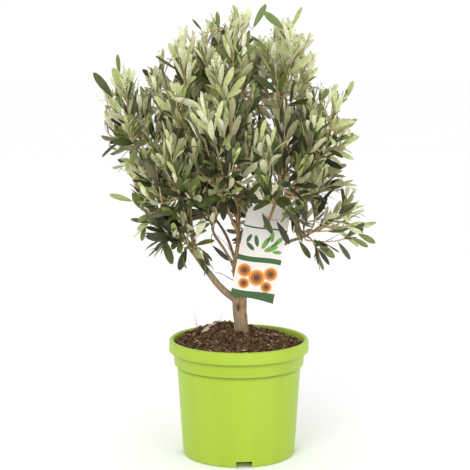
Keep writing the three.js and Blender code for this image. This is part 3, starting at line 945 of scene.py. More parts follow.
@dataclass
class Pot:
    """The round plastic pot, its rim band hanging clear of the collar."""

    base_radius: float = 87.5
    base_round: float = 3
    base_steps: int = 5
    body_top_radius: float = 96.5
    tuck: Range = (0.2, 2)
    collar_foot: float = 141
    collar_radius: float = 101
    rim_radius: float = 109
    rim_foot: float = 163
    height: float = 182
    lip_width: float = 7
    lip_steps: int = 11
    skirt: float = 2.2
    nose: float = 1
    nose_rise: float = 3
    draft: float = 0.6
    wall: float = 2.2
    floor: float = 3
    floor_round: float = 3
    floor_middle: float = 10
    sides: int = 144
    edge_round: float = 0.5
    edge_degrees: float = 28
    smooth_degrees: float = 32
    notches: int = 4
    notch_size: Point = (24, 28, 19)
    notch_round: float = 1.2
    notch_turn: float = math.radians(5.2)
    finish: PotPlastic = PotPlastic()

    @property
    def lip_middle(self) -> Range:
        """Radius and height of the middle of the lip's round."""
        return (self.rim_radius - self.draft - self.lip_width / 2, self.height - self.lip_width / 2)

    def inner_radius(self, height: float) -> float:
        """The radius of the inner wall at a height.

        Args:
            height: The height above the pot's foot.

        Returns:
            The radius.
        """
        body = lerp(self.base_radius, self.body_top_radius, limited(height / self.collar_foot)) - self.wall
        lip_radius, lip_height = self.lip_middle
        rise = limited((height - self.collar_foot) / (lip_height - self.collar_foot))
        return lerp(body, lip_radius - self.lip_width / 2, rise)

    def profile(self) -> list[Range]:
        """The pot's section, from under its base, up its outside and down its inside.

        Returns:
            Its radii and heights.
        """
        under_lip = self.height - self.lip_width
        foot, rim_foot = self.collar_foot, self.rim_foot
        lip_radius, lip_height = self.lip_middle
        half_lip = self.lip_width / 2
        base = [(self.base_radius - self.base_round * (1 - math.sin(a)), self.base_round * (1 - math.cos(a)))
                for a in np.linspace(0, math.pi / 2, self.base_steps)]
        lip = [(lip_radius + half_lip * math.cos(a), lip_height + half_lip * math.sin(a))
               for a in np.linspace(0, math.pi, self.lip_steps)]
        floor_corner = self.floor + self.floor_round
        return [
            *base,
            (self.body_top_radius - self.tuck[0], foot - self.tuck[1]),
            (self.body_top_radius, foot),
            (self.collar_radius - self.nose, foot + self.nose),
            (self.collar_radius, foot + self.nose_rise),
            (self.collar_radius + self.draft, under_lip),
            (self.rim_radius - self.skirt - self.draft, under_lip),
            (self.rim_radius - self.skirt - self.nose, rim_foot),
            (self.rim_radius - self.nose, rim_foot),
            (self.rim_radius, rim_foot + self.nose_rise),
            *lip,
            (self.inner_radius(foot), foot),
            (self.inner_radius(floor_corner), floor_corner),
            (self.inner_radius(self.floor) - self.floor_round, self.floor),
            (self.floor_middle, self.floor),
        ]

    def cutters(self) -> Piece:
        """The blocks that cut the drain notches.

        Returns:
            The blocks, joined.
        """
        blocks = []
        for i in range(self.notches):
            turn = self.notch_turn + i * math.tau / self.notches
            place = Matrix.Rotation(turn, 3, "Z") @ metres((0, -self.base_radius, 0))
            bpy.ops.mesh.primitive_cube_add(size=1, location=place, rotation=(0, 0, turn),
                                            scale=metres(self.notch_size))
            blocks.append(bpy.context.object)
            finish_with(blocks[-1], "BEVEL", width=self.notch_round * MM, segments=3)
        for block in blocks:
            block.select_set(True)
        bpy.ops.object.join()
        return bpy.context.object

    def build(self) -> Piece:
        """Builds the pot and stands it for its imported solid.

        Returns:
            The finished pot.
        """
        piece = raised_round(self.profile(), self.sides)
        face_outwards(piece)
        finish_with(piece, "BEVEL", width=self.edge_round * MM, segments=2, limit_method="ANGLE",
                    angle_limit=math.radians(self.edge_degrees))
        cut_by(piece, self.cutters())
        smooth_by_angle(piece, self.smooth_degrees)
        name_piece(piece, "pot_shell", Slot.POT, self.finish.material((self.collar_foot, self.rim_foot)))
        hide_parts("pot")
        return piece


@dataclass
class Soil:
    """The root ball with its mounded, crumbly surface.

    The clods' noise has its layers and no sharp folds, the grit's its roughness, step and layers.
    """

    pot: Pot
    edge_height: float = 173
    mound: float = 26
    mound_at: Range = (-18, 20)
    mound_spread: float = 44
    mound_foot: float = 15
    lump_height: float = 1.5
    lump_waves: Range = (7, 8)
    cross_share: float = 0.6
    cross_waves: Range = (4.1, 5.3)
    plateau: float = 4
    plateau_foot: float = 6
    clod_height: float = 5
    clod_size: float = 13
    clod_middle: float = 0.6
    grit_height: float = 1.6
    grit_size: float = 3
    gap: float = 0.3
    chamfer: float = 12
    rings: int = 46
    sides: int = 160
    smooth_degrees: float = 50
    finish: Peat = Peat()

    CLOD_NOISE = (4, False)
    GRIT_NOISE = (1.0, 2.0, 3)

    @property
    def edge(self) -> float:
        """The radius of the surface's edge."""
        return self.pot.inner_radius(self.edge_height) - self.gap

    def height(self, x: float, y: float) -> float:
        """The height of the surface at a place: mound and lumps, with clods and grit on them.

        Args:
            x: The place's X.
            y: The place's Y.

        Returns:
            The height above the pot's foot.
        """
        away = (x - self.mound_at[0]) ** 2 + (y - self.mound_at[1]) ** 2
        mound = self.mound * math.exp(-away / (2 * self.mound_spread**2))
        lumps = (math.sin(x / self.lump_waves[0] + 1) * math.cos(y / self.lump_waves[1])
                 + self.cross_share * math.sin(x / self.cross_waves[0] - y / self.cross_waves[1]))
        clods = noise.turbulence(Vector((x / self.clod_size, y / self.clod_size, 3)), *self.CLOD_NOISE)
        grit = noise.fractal(Vector((x / self.grit_size, y / self.grit_size, 9)), *self.GRIT_NOISE)
        crumbs = self.plateau + self.clod_height * (clods - self.clod_middle) + self.grit_height * grit
        room = self.edge - math.hypot(x, y)
        return (self.edge_height + smoothstep(room, 0, self.mound_foot) * (mound + self.lump_height * lumps)
                + smoothstep(room, 0, self.plateau_foot) * crumbs)

    def over(self, x: float, y: float, above: float = 0.0) -> Vector:
        """The point at a height above the surface, in metres."""
        return metres((x, y, self.height(x, y) + above))

    def spot(self, dice: Dice, reach: float) -> Vector:
        """A random point of the surface within a share of its radius, in metres."""
        radius, turn = self.edge * reach * math.sqrt(dice.roll()), dice.between(0, math.tau)
        return self.over(radius * math.cos(turn), radius * math.sin(turn))

    def build(self) -> Piece:
        """Builds the root ball: a disc raised to the surface, inset ring by ring, and roughened.

        Returns:
            The finished soil.
        """
        foot = self.pot.inner_radius(self.pot.floor + self.chamfer) - self.gap
        floor = self.pot.floor + self.gap
        profile = [
            (foot - self.chamfer, floor),
            (foot, floor + self.chamfer),
            (self.pot.inner_radius(self.pot.collar_foot) - self.gap, self.pot.collar_foot),
            (self.edge, self.edge_height),
        ]
        piece = raised_round(profile, self.sides)
        just_under = (self.edge_height - 1) * MM
        with edit_mode(piece):
            bpy.ops.mesh.select_all(action="DESELECT")
            bpy.ops.object.mode_set(mode="OBJECT")
            for face in piece.data.polygons:
                face.select = face.center.z > just_under
            bpy.ops.object.mode_set(mode="EDIT")
            for _ in range(self.rings - 1):
                bpy.ops.mesh.inset(thickness=self.edge / self.rings * MM)
            bpy.ops.mesh.poke()
        face_outwards(piece)
        for vertex in piece.data.vertices:
            if vertex.co.z > just_under:
                vertex.co.z = self.height(vertex.co.x / MM, vertex.co.y / MM) * MM
        smooth_by_angle(piece, self.smooth_degrees)
        name_piece(piece, "soil_surface", Slot.SOIL, self.finish.material("peat"))
        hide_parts("soil")
        return piece


@dataclass
class Crumbs:
    """Loose crumbs of peat, from dust to clods."""

    soil: Soil
    count: int = 3400
    reach: float = 0.97
    sizes: Range = (0.5, 3.5)
    rarity: int = 6
    stretch: Range = (0.7, 1.3)
    roughness: Range = (0.8, 1.2)
    light_share: float = 0.3
    shifts: Range = (0.05, 0.14)
    seed: int = 71

    def build(self) -> Piece:
        """Builds the crumbs from one ball, which is stretched and dented anew for each.

        Returns:
            The finished crumbs.
        """
        bpy.ops.mesh.primitive_ico_sphere_add(subdivisions=1, radius=1)
        ball = bpy.context.object
        shape = np.array([vertex.co for vertex in ball.data.vertices])
        faces = np.array([face.vertices for face in ball.data.polygons])
        bpy.data.objects.remove(ball)
        dice = Dice(self.seed)
        cluster = Cluster()
        for _ in range(self.count):
            size = lerp(*self.sizes, dice.roll() ** self.rarity)
            place = self.soil.spot(dice, self.reach)
            turn = np.array(Quaternion(dice.way(), dice.between(0, math.pi)).to_matrix())
            lumpy = shape * [dice.between(*self.stretch) for _ in range(3)]
            rough = np.array([[dice.between(*self.roughness)] for _ in shape])
            vertices = (lumpy * rough) @ turn.T * size * MM + np.array(place)
            cluster.add(vertices, faces, int(dice.roll() < self.light_share))
        skins = [self.soil.finish.material(name, shift)
                 for name, shift in zip(("peat_crumbs", "peat_crumbs_light"), self.shifts)]
        return cluster.joined("soil_crumbs", Slot.SOIL, *skins)


@dataclass
class Fibres:
    """Straw and root fibres bent over the crumbs, and a few wisps that stand up.

    A wisp has its place, its height and how far it sways.
    """

    soil: Soil
    count: int = 480
    reach: float = 0.93
    lengths: Range = (4, 15)
    bends: Range = (-0.4, 0.4)
    radii: Range = (0.16, 0.42)
    lift: float = 1.1
    arch: float = 2.8
    sink_share: float = 0.3
    dip: float = 3
    stations: int = 5
    sides: int = 4
    wisps: tuple[tuple[float, float, float, float], ...] = (
        (-67, 26, 36, -4), (-64, 20, 22, -9), (-30, 46, 14, 8),
        (78, 30, 12, 7), (92, -10, 10, 6), (-84, 14, 9, -6))
    wisp_radii: Range = (0.45, 0.15)
    wisp_stations: int = 7
    wisp_sides: int = 5
    tones: tuple[Colour, ...] = (linear(196, 168, 120), linear(140, 98, 62), linear(116, 62, 44))
    shade: float = 0.7
    seed: int = 72

    def lie(self, cluster: Cluster, dice: Dice) -> None:
        """Lays one fibre over the soil.

        Args:
            cluster: The fibres so far.
            dice: The random numbers.
        """
        start = self.soil.spot(dice, self.reach)
        turn = dice.between(0, math.tau)
        length = dice.between(*self.lengths) * MM
        way = Vector((math.cos(turn), math.sin(turn), 0))
        bend = way.cross(UP) * dice.between(*self.bends)
        points = []
        for t in np.linspace(-0.5, 0.5, self.stations):
            point = start + (way * t + bend * (t * t)) * length
            ground = self.soil.height(point.x / MM, point.y / MM) * MM
            raised = (self.lift + self.arch * (dice.roll() - self.sink_share) * (1 - abs(2 * t))) * MM
            points.append(Vector((point.x, point.y, max(ground, start.z - self.dip * MM) + raised)))
        radius = dice.between(*self.radii) * MM
        cluster.add_tube(points, [radius] * self.stations, self.sides, int(dice.roll() * len(self.tones)))

    def build(self) -> Piece:
        """Builds the fibres and the wisps.

        Returns:
            The finished fibres.
        """
        dice = Dice(self.seed)
        cluster = Cluster()
        for _ in range(self.count):
            self.lie(cluster, dice)
        shares = np.linspace(0, 1, self.wisp_stations)
        for x, y, rise, sway in self.wisps:
            foot = self.soil.over(x, y)
            points = [foot + metres((sway * t * t, sway * t, rise * t)) for t in shares]
            cluster.add_tube(points, [lerp(*self.wisp_radii, t) * MM for t in shares], self.wisp_sides)
        skins = [TwigSkin(f"fibre_{i}", tone, tuple(part * self.shade for part in tone)).material()
                 for i, tone in enumerate(self.tones)]
        return cluster.joined("soil_fibres", Slot.SOIL, *skins)


@dataclass
class Flecks:
    """Pale flecks: bits of straw and stone, low six-sided chips."""

    soil: Soil
    count: int = 60
    reach: float = 0.9
    above: float = 0.6
    lengths: Range = (1.5, 7)
    radii: Range = (0.4, 1.0)
    flatness: float = 0.3
    section: Point = (0.6, 1, 0.5)
    sides: int = 6
    skin: TwigSkin = TwigSkin("fleck", linear(226, 214, 186), linear(188, 168, 128))
    seed: int = 73

    def build(self) -> Piece:
        """Builds the flecks, each a chip that lies nearly flat.

        Returns:
            The finished flecks.
        """
        dice = Dice(self.seed)
        cluster = Cluster()
        for _ in range(self.count):
            place = self.soil.spot(dice, self.reach) + UP * (self.above * MM)
            length = dice.between(*self.lengths) * MM
            way = dice.way()
            way.z *= self.flatness
            way.normalize()
            radius = dice.between(*self.radii) * MM
            points = [place - way * length / 2, place, place + way * length / 2]
            cluster.add_tube(points, [radius * share for share in self.section], self.sides)
        return cluster.joined("soil_flecks", Slot.SOIL, self.skin.material())


@dataclass
class FallenLeaf:
    """A pale leaf that has dropped on the mound, its ends as X, Y and height above it."""

    soil: Soil
    root: Point = (-33, 16, 7)
    tip: Point = (-62, 2, 5)
    width: float = 10
    bend: float = 0.3
    twist: float = 0.5
    upper: LeafSkin = LeafSkin("fallen_upper", linear(206, 200, 158), 0.6)
    under: LeafSkin = LeafSkin("fallen_under", linear(214, 210, 176), 0.7)

    def build(self) -> Piece:
        """Builds the leaf.

        Returns:
            The finished leaf.
        """
        root, tip = self.soil.over(*self.root), self.soil.over(*self.tip)
        way = (tip - root).normalized()
        cluster = Cluster()
        leaf = Leaf(root, way, square_to(way, UP), (tip - root).length, self.width * MM, self.bend,
                    self.twist, Tint.NEW)
        leaf.add_to(cluster)
        return cluster.joined("fallen_leaf", Slot.SOIL, self.upper.material(), self.under.material())


@dataclass(frozen=True)
class LimbPlan:
    """One bough or branch: where it starts on its parent, its radii and the points it passes."""

    name: str
    parent: str
    start: float
    radii: Range
    through: tuple[Point, ...]


LIMB_PLANS = tuple(LimbPlan(*row) for row in (
    ("bough_leader", "trunk", 1, (8.6, 3.4),
     ((16, 5, 277), (42, 10, 335), (64, 12, 413), (59, 9, 490), (63, 4, 530))),
    ("bough_left", "trunk", 0.84, (6.6, 4), ((-26, -3, 260), (-49, -7, 289), (-71, -10, 320))),
    ("bough_centre", "bough_leader", 0.035, (3.6, 2.6),
     ((-7, -2, 286), (-1, -3, 345), (-8, 0, 430), (-8, 4, 506))),
    ("bough_left_rising", "bough_left", 0.82, (3.8, 2.6),
     ((-74, 2, 350), (-79, 4, 415), (-76, 6, 478))),
    ("branch_right", "bough_leader", 0.5, (3.4, 2.4), ((86, 2, 425), (112, 0, 462))),
    ("branch_right_low", "bough_leader", 0.25, (3.6, 2.4),
     ((58, 4, 322), (78, -4, 334), (94, -8, 340))),
    ("branch_left", "bough_left_rising", 0.42, (3, 2.3), ((-104, 6, 445), (-132, 2, 480))),
    ("branch_left_low", "bough_left", 0.68, (3.2, 2.3), ((-82, 4, 338), (-114, 8, 368))),
    ("branch_front_right", "bough_leader", 0.27, (3.2, 2.6),
     ((42, -19, 361), (46, -42, 374), (52, -62, 394))),
    ("branch_front_centre", "bough_centre", 0.36, (2.7, 2.2), ((-18, -33, 390), (-22, -62, 412))),
    ("branch_front_left", "bough_left", 0.84, (2.8, 2.2), ((-70, -38, 350), (-72, -66, 386))),
    ("branch_back_centre", "bough_centre", 0.36, (2.7, 2.2), ((2, 44, 395), (2, 80, 430))),
    ("branch_back_left", "bough_centre", 0.2, (2.7, 2.2), ((-24, 38, 345), (-66, 74, 396))),
    ("branch_back_right", "bough_leader", 0.33, (3, 2.2), ((66, 50, 372), (84, 80, 398))),
    ("branch_middle", "bough_centre", 0.16, (2.6, 2.2), ((-22, -10, 322), (-34, -14, 340))),
    ("branch_back_low", "bough_leader", 0.15, (3, 2.2), ((32, 38, 316), (30, 64, 334))),
    ("branch_top_back", "bough_leader", 0.8, (2.6, 2.1), ((44, 38, 512), (32, 62, 534))),
))

# Thin bare side twigs, low on a bough
SNAGS = tuple(LimbPlan(*row) for row in (
    ("snag_long", "bough_centre", 0.04, (1.3, 0.7), ((-26, -8, 284), (-44, -14, 290), (-60, -16, 302))),
    ("snag_high", "bough_centre", 0.13, (1.2, 0.7), ((-22, -6, 322), (-34, -10, 346))),
    ("snag_top", "bough_centre", 0.2, (1.1, 0.7), ((-20, -10, 332), (-42, -16, 352))),
    ("snag_stub", "bough_centre", 0.09, (0.9, 0.7), ((-16, -5, 296), (-17, -7, 304))),
))


@dataclass
class Limb:
    """A limb's line and its radius along it, in metres."""

    line: Line
    radii: Range
    taper: float = 0.8

    def radius(self, share: float) -> float:
        """The radius at a share of the length."""
        return lerp(*self.radii, share**self.taper)


@dataclass
class Trunk(Limb):
    """The trunk: root flare at its foot, and a swelling at its fork that closes at the very top."""

    flare: float = 3.2 * MM
    flare_power: int = 5
    swell: float = 1.8 * MM
    swell_power: int = 3
    close: float = 1.2 * MM
    close_power: int = 12

    def radius(self, share: float) -> float:
        """The radius at a share of the length."""
        return (self.radii[0] + self.flare * (1 - share) ** self.flare_power
                + self.swell * share**self.swell_power - self.close * share**self.close_power)


@dataclass
class Twig(Limb):
    """One twig, which tapers evenly, and whether it is old wood."""

    taper: float = 1
    woody: bool = False


@dataclass
class Bark:
    """The trunk, boughs and branches as one skin with the bark's relief.

    The relief's heights are shares of a limb's radius.
    """

    trunk_line: tuple[Point, ...] = ((3, 0, 180), (3.4, -0.5, 200), (1.5, 0, 226), (1, 0.5, 249))
    trunk_radius: float = 10.7
    step: float = 4
    roundness: int = 5
    voxel: float = 0.95
    relief: float = 0.085
    crack_pitch: float = 1.7
    crack_stretch: float = 6
    crack_middle: float = 0.6
    knots: float = 0.08
    knot_pitch: float = 90
    samples: int = 60
    finish: YoungBark = YoungBark()
    limbs: dict[str, Limb] = field(default_factory=dict)

    def limb(self, plan: LimbPlan) -> Limb:
        """The limb of a plan, on from its parent."""
        points = [self.limbs[plan.parent].line.at(plan.start), *(metres(point) for point in plan.through)]
        return Limb(Line.smooth(points), (plan.radii[0] * MM, plan.radii[1] * MM))

    def grow(self) -> dict[str, Limb]:
        """Works out every limb, parents first.

        Returns:
            The limbs by name.
        """
        radius = self.trunk_radius * MM
        trunk_line = Line.smooth([metres(point) for point in self.trunk_line])
        self.limbs["trunk"] = Trunk(trunk_line, (radius, radius))
        for plan in LIMB_PLANS:
            self.limbs[plan.name] = self.limb(plan)
        return self.limbs

    def tubes(self) -> Piece:
        """Every limb and snag as a round tapering tube.

        Returns:
            One mesh object.
        """
        bpy.ops.object.select_all(action="DESELECT")
        bpy.ops.curve.primitive_nurbs_path_add(location=(0, 0, 0))
        curve = bpy.context.object
        curve.data.splines.clear()
        curve.data.dimensions = "3D"
        curve.data.bevel_depth = 1
        curve.data.bevel_resolution = self.roundness
        curve.data.use_fill_caps = True
        for limb in [*self.limbs.values(), *(self.limb(snag) for snag in SNAGS)]:
            count = max(4, round(limb.line.length / (self.step * MM)))
            spline = curve.data.splines.new("POLY")
            spline.points.add(count - 1)
            for i, (point, place) in enumerate(zip(spline.points, limb.line.spaced(count))):
                point.co = (*place, 1)
                point.radius = limb.radius(i / (count - 1))
        select_only(curve)
        bpy.ops.object.convert(target="MESH")
        return bpy.context.object

    def roughen(self, piece: Piece) -> None:
        """Moves the skin's points in and out, in fine cracks that run along each limb.

        Args:
            piece: The smooth skin.
        """
        samples = [(limb.line.at(share), limb.line.along(share), limb.radius(share))
                   for limb in self.limbs.values() for share in np.linspace(0, 1, self.samples)]
        tree = kdtree.KDTree(len(samples))
        for i, (place, _, _) in enumerate(samples):
            tree.insert(place, i)
        tree.balance()
        scale = 1 / (self.crack_pitch * MM)
        normals = [vertex.normal.copy() for vertex in piece.data.vertices]
        for vertex, normal in zip(piece.data.vertices, normals):
            _, way, radius = samples[tree.find(vertex.co)[1]]
            place = vertex.co - way * vertex.co.dot(way) * (1 - 1 / self.crack_stretch)
            cracks = noise.turbulence(place * scale, 3, True) - self.crack_middle
            knots = noise.noise(vertex.co * self.knot_pitch)
            vertex.co += normal * radius * (self.relief * cracks + self.knots * knots)

    def build(self) -> Piece:
        """Builds the bark and stands it for the trunk, boughs and branches.

        Returns:
            The finished bark.
        """
        piece = self.tubes()
        finish_with(piece, "REMESH", mode="VOXEL", voxel_size=self.voxel * MM)
        finish_with(piece, "SMOOTH", factor=0.5, iterations=5)
        self.roughen(piece)
        piece.data.shade_smooth()
        name_piece(piece, "bark_skin", Slot.BARK, self.finish.material())
        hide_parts(*self.limbs)
        return piece


@dataclass(frozen=True)
class MassPlan:
    """One mass of foliage: the limb that bears it, its space, and how it grows there."""

    name: str
    bearer: str
    centre: Point
    reach: Point
    # How much darker its leaves are tinted, for age and as painted shade.
    gloom: float = 0.0
    droop: float = 0.0
    shoots: int = 12
    open_by: float = 1.0
    broad: float = 1.0
    lift: float = 0.3
    young_size: float = 0.46


MASS_PLANS = (
    MassPlan("top_right", "bough_leader", (62, -4, 602), (56, 76, 97), -0.25),
    MassPlan("top_centre", "bough_centre", (-16, -6, 600), (58, 76, 98), -0.25),
    MassPlan("top_left", "bough_left_rising", (-84, 0, 566), (62, 74, 100), -0.15),
    MassPlan("top_back", "branch_top_back", (14, 99, 572), (76, 70, 88), 0.1),
    MassPlan("left", "branch_left", (-158, -6, 520), (63, 78, 90), -0.2),
    MassPlan("middle", "branch_middle", (-40, -6, 392), (56, 64, 64), 0.45,
             droop=0.3, open_by=1.2, broad=1.25, lift=0.0, young_size=0.65),
    MassPlan("left_low", "branch_left_low", (-136, 6, 410), (68, 81, 74), -0.16,
             droop=0.1, open_by=1.25, broad=1.22, lift=0.2, young_size=0.65),
    MassPlan("under_left", "bough_left", (-86, -30, 354), (62, 70, 60), 0.15,
             droop=0.6, shoots=8, open_by=1.3, broad=1.3, lift=0.0, young_size=0.8),
    MassPlan("right", "branch_right", (122, -4, 512), (60, 76, 84), -0.2),
    MassPlan("right_low", "branch_right_low", (132, -12, 364), (79, 85, 76), -0.05,
             droop=0.3, shoots=7, open_by=1.2, lift=0.0),
    MassPlan("front_centre", "branch_front_centre", (-22, -104, 472), (70, 70, 98), 0.24, young_size=0.6),
    MassPlan("front_left", "branch_front_left", (-86, -95, 442), (66, 70, 86), 0.1, young_size=0.6),
    MassPlan("front_right", "branch_front_right", (66, -95, 466), (74, 72, 96), 0.18, young_size=0.6),
    MassPlan("back_centre", "branch_back_centre", (0, 118, 480), (76, 74, 92), 0.15),
    MassPlan("back_left", "branch_back_left", (-94, 104, 442), (70, 74, 86), 0.15),
    MassPlan("back_right", "branch_back_right", (104, 97, 434), (70, 76, 86), 0.15),
    MassPlan("back_low", "branch_back_low", (26, 86, 368), (64, 66, 58), 0.35),
)


@dataclass(frozen=True)
class Spray:
    """A spray that stands out from its mass: the points that it passes after the nearest twig."""

    mass: str
    through: tuple[Point, ...]
    # How much darker than its mass its leaves are tinted, for age and as painted shade; below 0 lighter.
    shift: float = 0.0
    spacing: float = 12.0
    size: float = 0.85


SPRAYS = tuple(Spray(*row) for row in (
    ("right_low", ((101, -14, 338), (128, -14, 335), (156, -14, 338), (180, -15, 349)), 0.1, 26, 0.55),
    ("right_low", ((98, -18, 364), (150, -26, 376), (178, -28, 381)), 0.0, 14, 0.68),
    ("right_low", ((119, 10, 410), (159, 4, 424), (170, 0, 418)), -0.2, 14, 0.68),
    ("under_left", ((-98, -30, 348), (-110, -34, 338)), 0.3, 9, 0.95),
    ("under_left", ((-58, -24, 326), (-54, -26, 318)), 0.3, 9, 0.85),
    ("front_right", ((37, -76, 398), (35, -88, 424), (37, -94, 446)), -0.75, 15, 1.1),
    ("front_centre", ((-4, -88, 420), (0, -96, 446), (4, -98, 470)), -0.45, 14, 1.0),
    ("top_centre", ((-8, -40, 640), (4, -44, 668)), -0.3, 11, 0.7),
    ("top_left", ((-86, -6, 620), (-83, -8, 650)), -0.2, 9, 0.7),
    ("top_left", ((-72, -10, 616), (-70, -12, 642)), -0.1, 9, 0.7),
    ("top_left", ((-50, -8, 626), (-48, -10, 652)), -0.2, 9, 0.75),
    ("top_right", ((60, -12, 642), (62, -14, 662)), -0.1, 9, 0.7),
    ("top_right", ((94, -6, 618), (103, -8, 640)), 0.0, 9, 0.75),
    ("right", ((132, -6, 540), (142, -8, 562)), -0.2, 9, 0.75),
    ("right", ((146, -4, 530), (160, -6, 556)), -0.1, 12, 0.7),
    ("left", ((-148, -16, 462), (-166, -20, 456), (-176, -20, 452)), 0.3, 10, 0.75),
    ("front_right", ((72, -52, 396), (84, -44, 376), (90, -40, 360)), 0.35, 9, 0.8),
    ("right_low", ((84, -20, 372), (92, -26, 352)), 0.3, 9, 0.8),
    ("front_centre", ((-24, -122, 450), (-34, -132, 492), (-48, -132, 534)), -0.35, 15, 1.0),
    ("front_left", ((-112, -114, 410), (-118, -120, 446), (-120, -120, 476)), -0.2, 15, 0.95),
    ("front_right", ((96, -118, 430), (100, -124, 468), (108, -124, 504)), -0.35, 15, 0.95),
))


@dataclass(frozen=True)
class LoneLeaf:
    """A leaf that shows at the crown's edge, from its root to its tip."""

    root: Point
    tip: Point
    width: float
    tint: Tint


LONE_LEAVES = tuple(LoneLeaf(*row) for row in (
    ((20, -30, 656), (40, -30, 694), 10, Tint.MATURE),
    ((70, -44, 652), (36, -40, 683), 12, Tint.MATURE),
    ((78, 0, 657), (95, 0, 691), 7, Tint.YOUNG),
    ((-188, -10, 551), (-219, -14, 593), 12.5, Tint.OLD),
    ((-181, 0, 588), (-184, 0, 620), 7, Tint.MATURE),
    ((164, 0, 554), (173, 0, 580), 8, Tint.YOUNG),
    ((-104, -62, 556), (-56, -74, 546), 13, Tint.NEW),
    ((-160, -8, 396), (-198, -12, 408), 9, Tint.YOUNG),
    ((-134, -10, 364), (-166, -12, 370), 7, Tint.OLD),
    ((1, -20, 668), (-9, -22, 693), 6, Tint.YOUNG),
    ((-30, -10, 656), (-33, -12, 683), 7, Tint.MATURE),
    ((-54, -10, 653), (-70, -10, 672), 4, Tint.OLD),
    ((-89, -10, 593), (-126, -12, 618), 5, Tint.OLD),
    ((-174, -8, 564), (-190, -10, 600), 13, Tint.YOUNG),
    ((124, -6, 548), (136, -8, 567), 7, Tint.MATURE),
    ((-116, -32, 346), (-101, -36, 303), 13, Tint.OLD),
    ((-79, -36, 330), (-91, -42, 295), 12, Tint.SHADED),
    ((-64, -20, 320), (-47, -24, 286), 9, Tint.OLD),
    ((-42, -12, 330), (-15, -16, 306), 7.5, Tint.SHADED),
    ((-116, -22, 341), (-136, -26, 349), 7, Tint.SHADED),
    ((56, -44, 372), (76, -50, 336), 10, Tint.SHADED),
    ((34, -46, 384), (50, -50, 352), 9, Tint.OLD),
    ((13, -14, 664), (15, -14, 691), 10, Tint.NEW),
    ((-150, -14, 448), (-184, -18, 462), 9, Tint.OLD),
    ((91, -16, 338), (110, -20, 310), 9, Tint.OLD),
    ((119, -16, 335), (147, -20, 311), 12, Tint.MATURE),
    ((151, -16, 336), (171, -20, 308), 8, Tint.OLD),
    ((170, -17, 343), (198, -20, 328), 8.5, Tint.MATURE),
    ((180, -17, 349), (209, -20, 334), 10, Tint.MATURE),
    ((162, -16, 342), (192, -20, 365), 9, Tint.OLD),
    ((116, -16, 341), (122, -20, 299), 5, Tint.OLD),
))


# Places in the crown that stay open to the sky: the middle of each, and its reach each way
CLEARINGS = (
    ((38, 0, 654), (15, 110, 15)),
    ((86, 0, 659), (7, 90, 9)),
    ((-105, 0, 589), (6, 90, 13)),
    ((-134, 0, 618), (15, 90, 16)),
    ((-224, 0, 500), (23, 110, 48)),
    ((188, 0, 476), (14, 110, 22)),
    ((49, 0, 569), (8, 210, 9)),
    ((14, 0, 568), (5, 210, 7)),
    ((136, 0, 541), (5, 110, 11)),
    ((162, 0, 534), (13, 110, 11)),
    ((-60, 0, 473), (6, 190, 5)),
    ((114, 0, 472), (5, 190, 7)),
    ((-128, 0, 430), (6, 140, 6)),
    ((145, 0, 395), (6, 140, 9)),
    ((-192, 0, 384), (42, 140, 52)),
    ((-25, 0, 357), (14, 190, 15)),
    ((-29, 0, 321), (19, 190, 20)),
    ((-96, 0, 322), (10, 90, 17)),
    ((133, 0, 344), (10, 140, 9)),
    ((48, 0, 300), (20, 190, 24)),
)


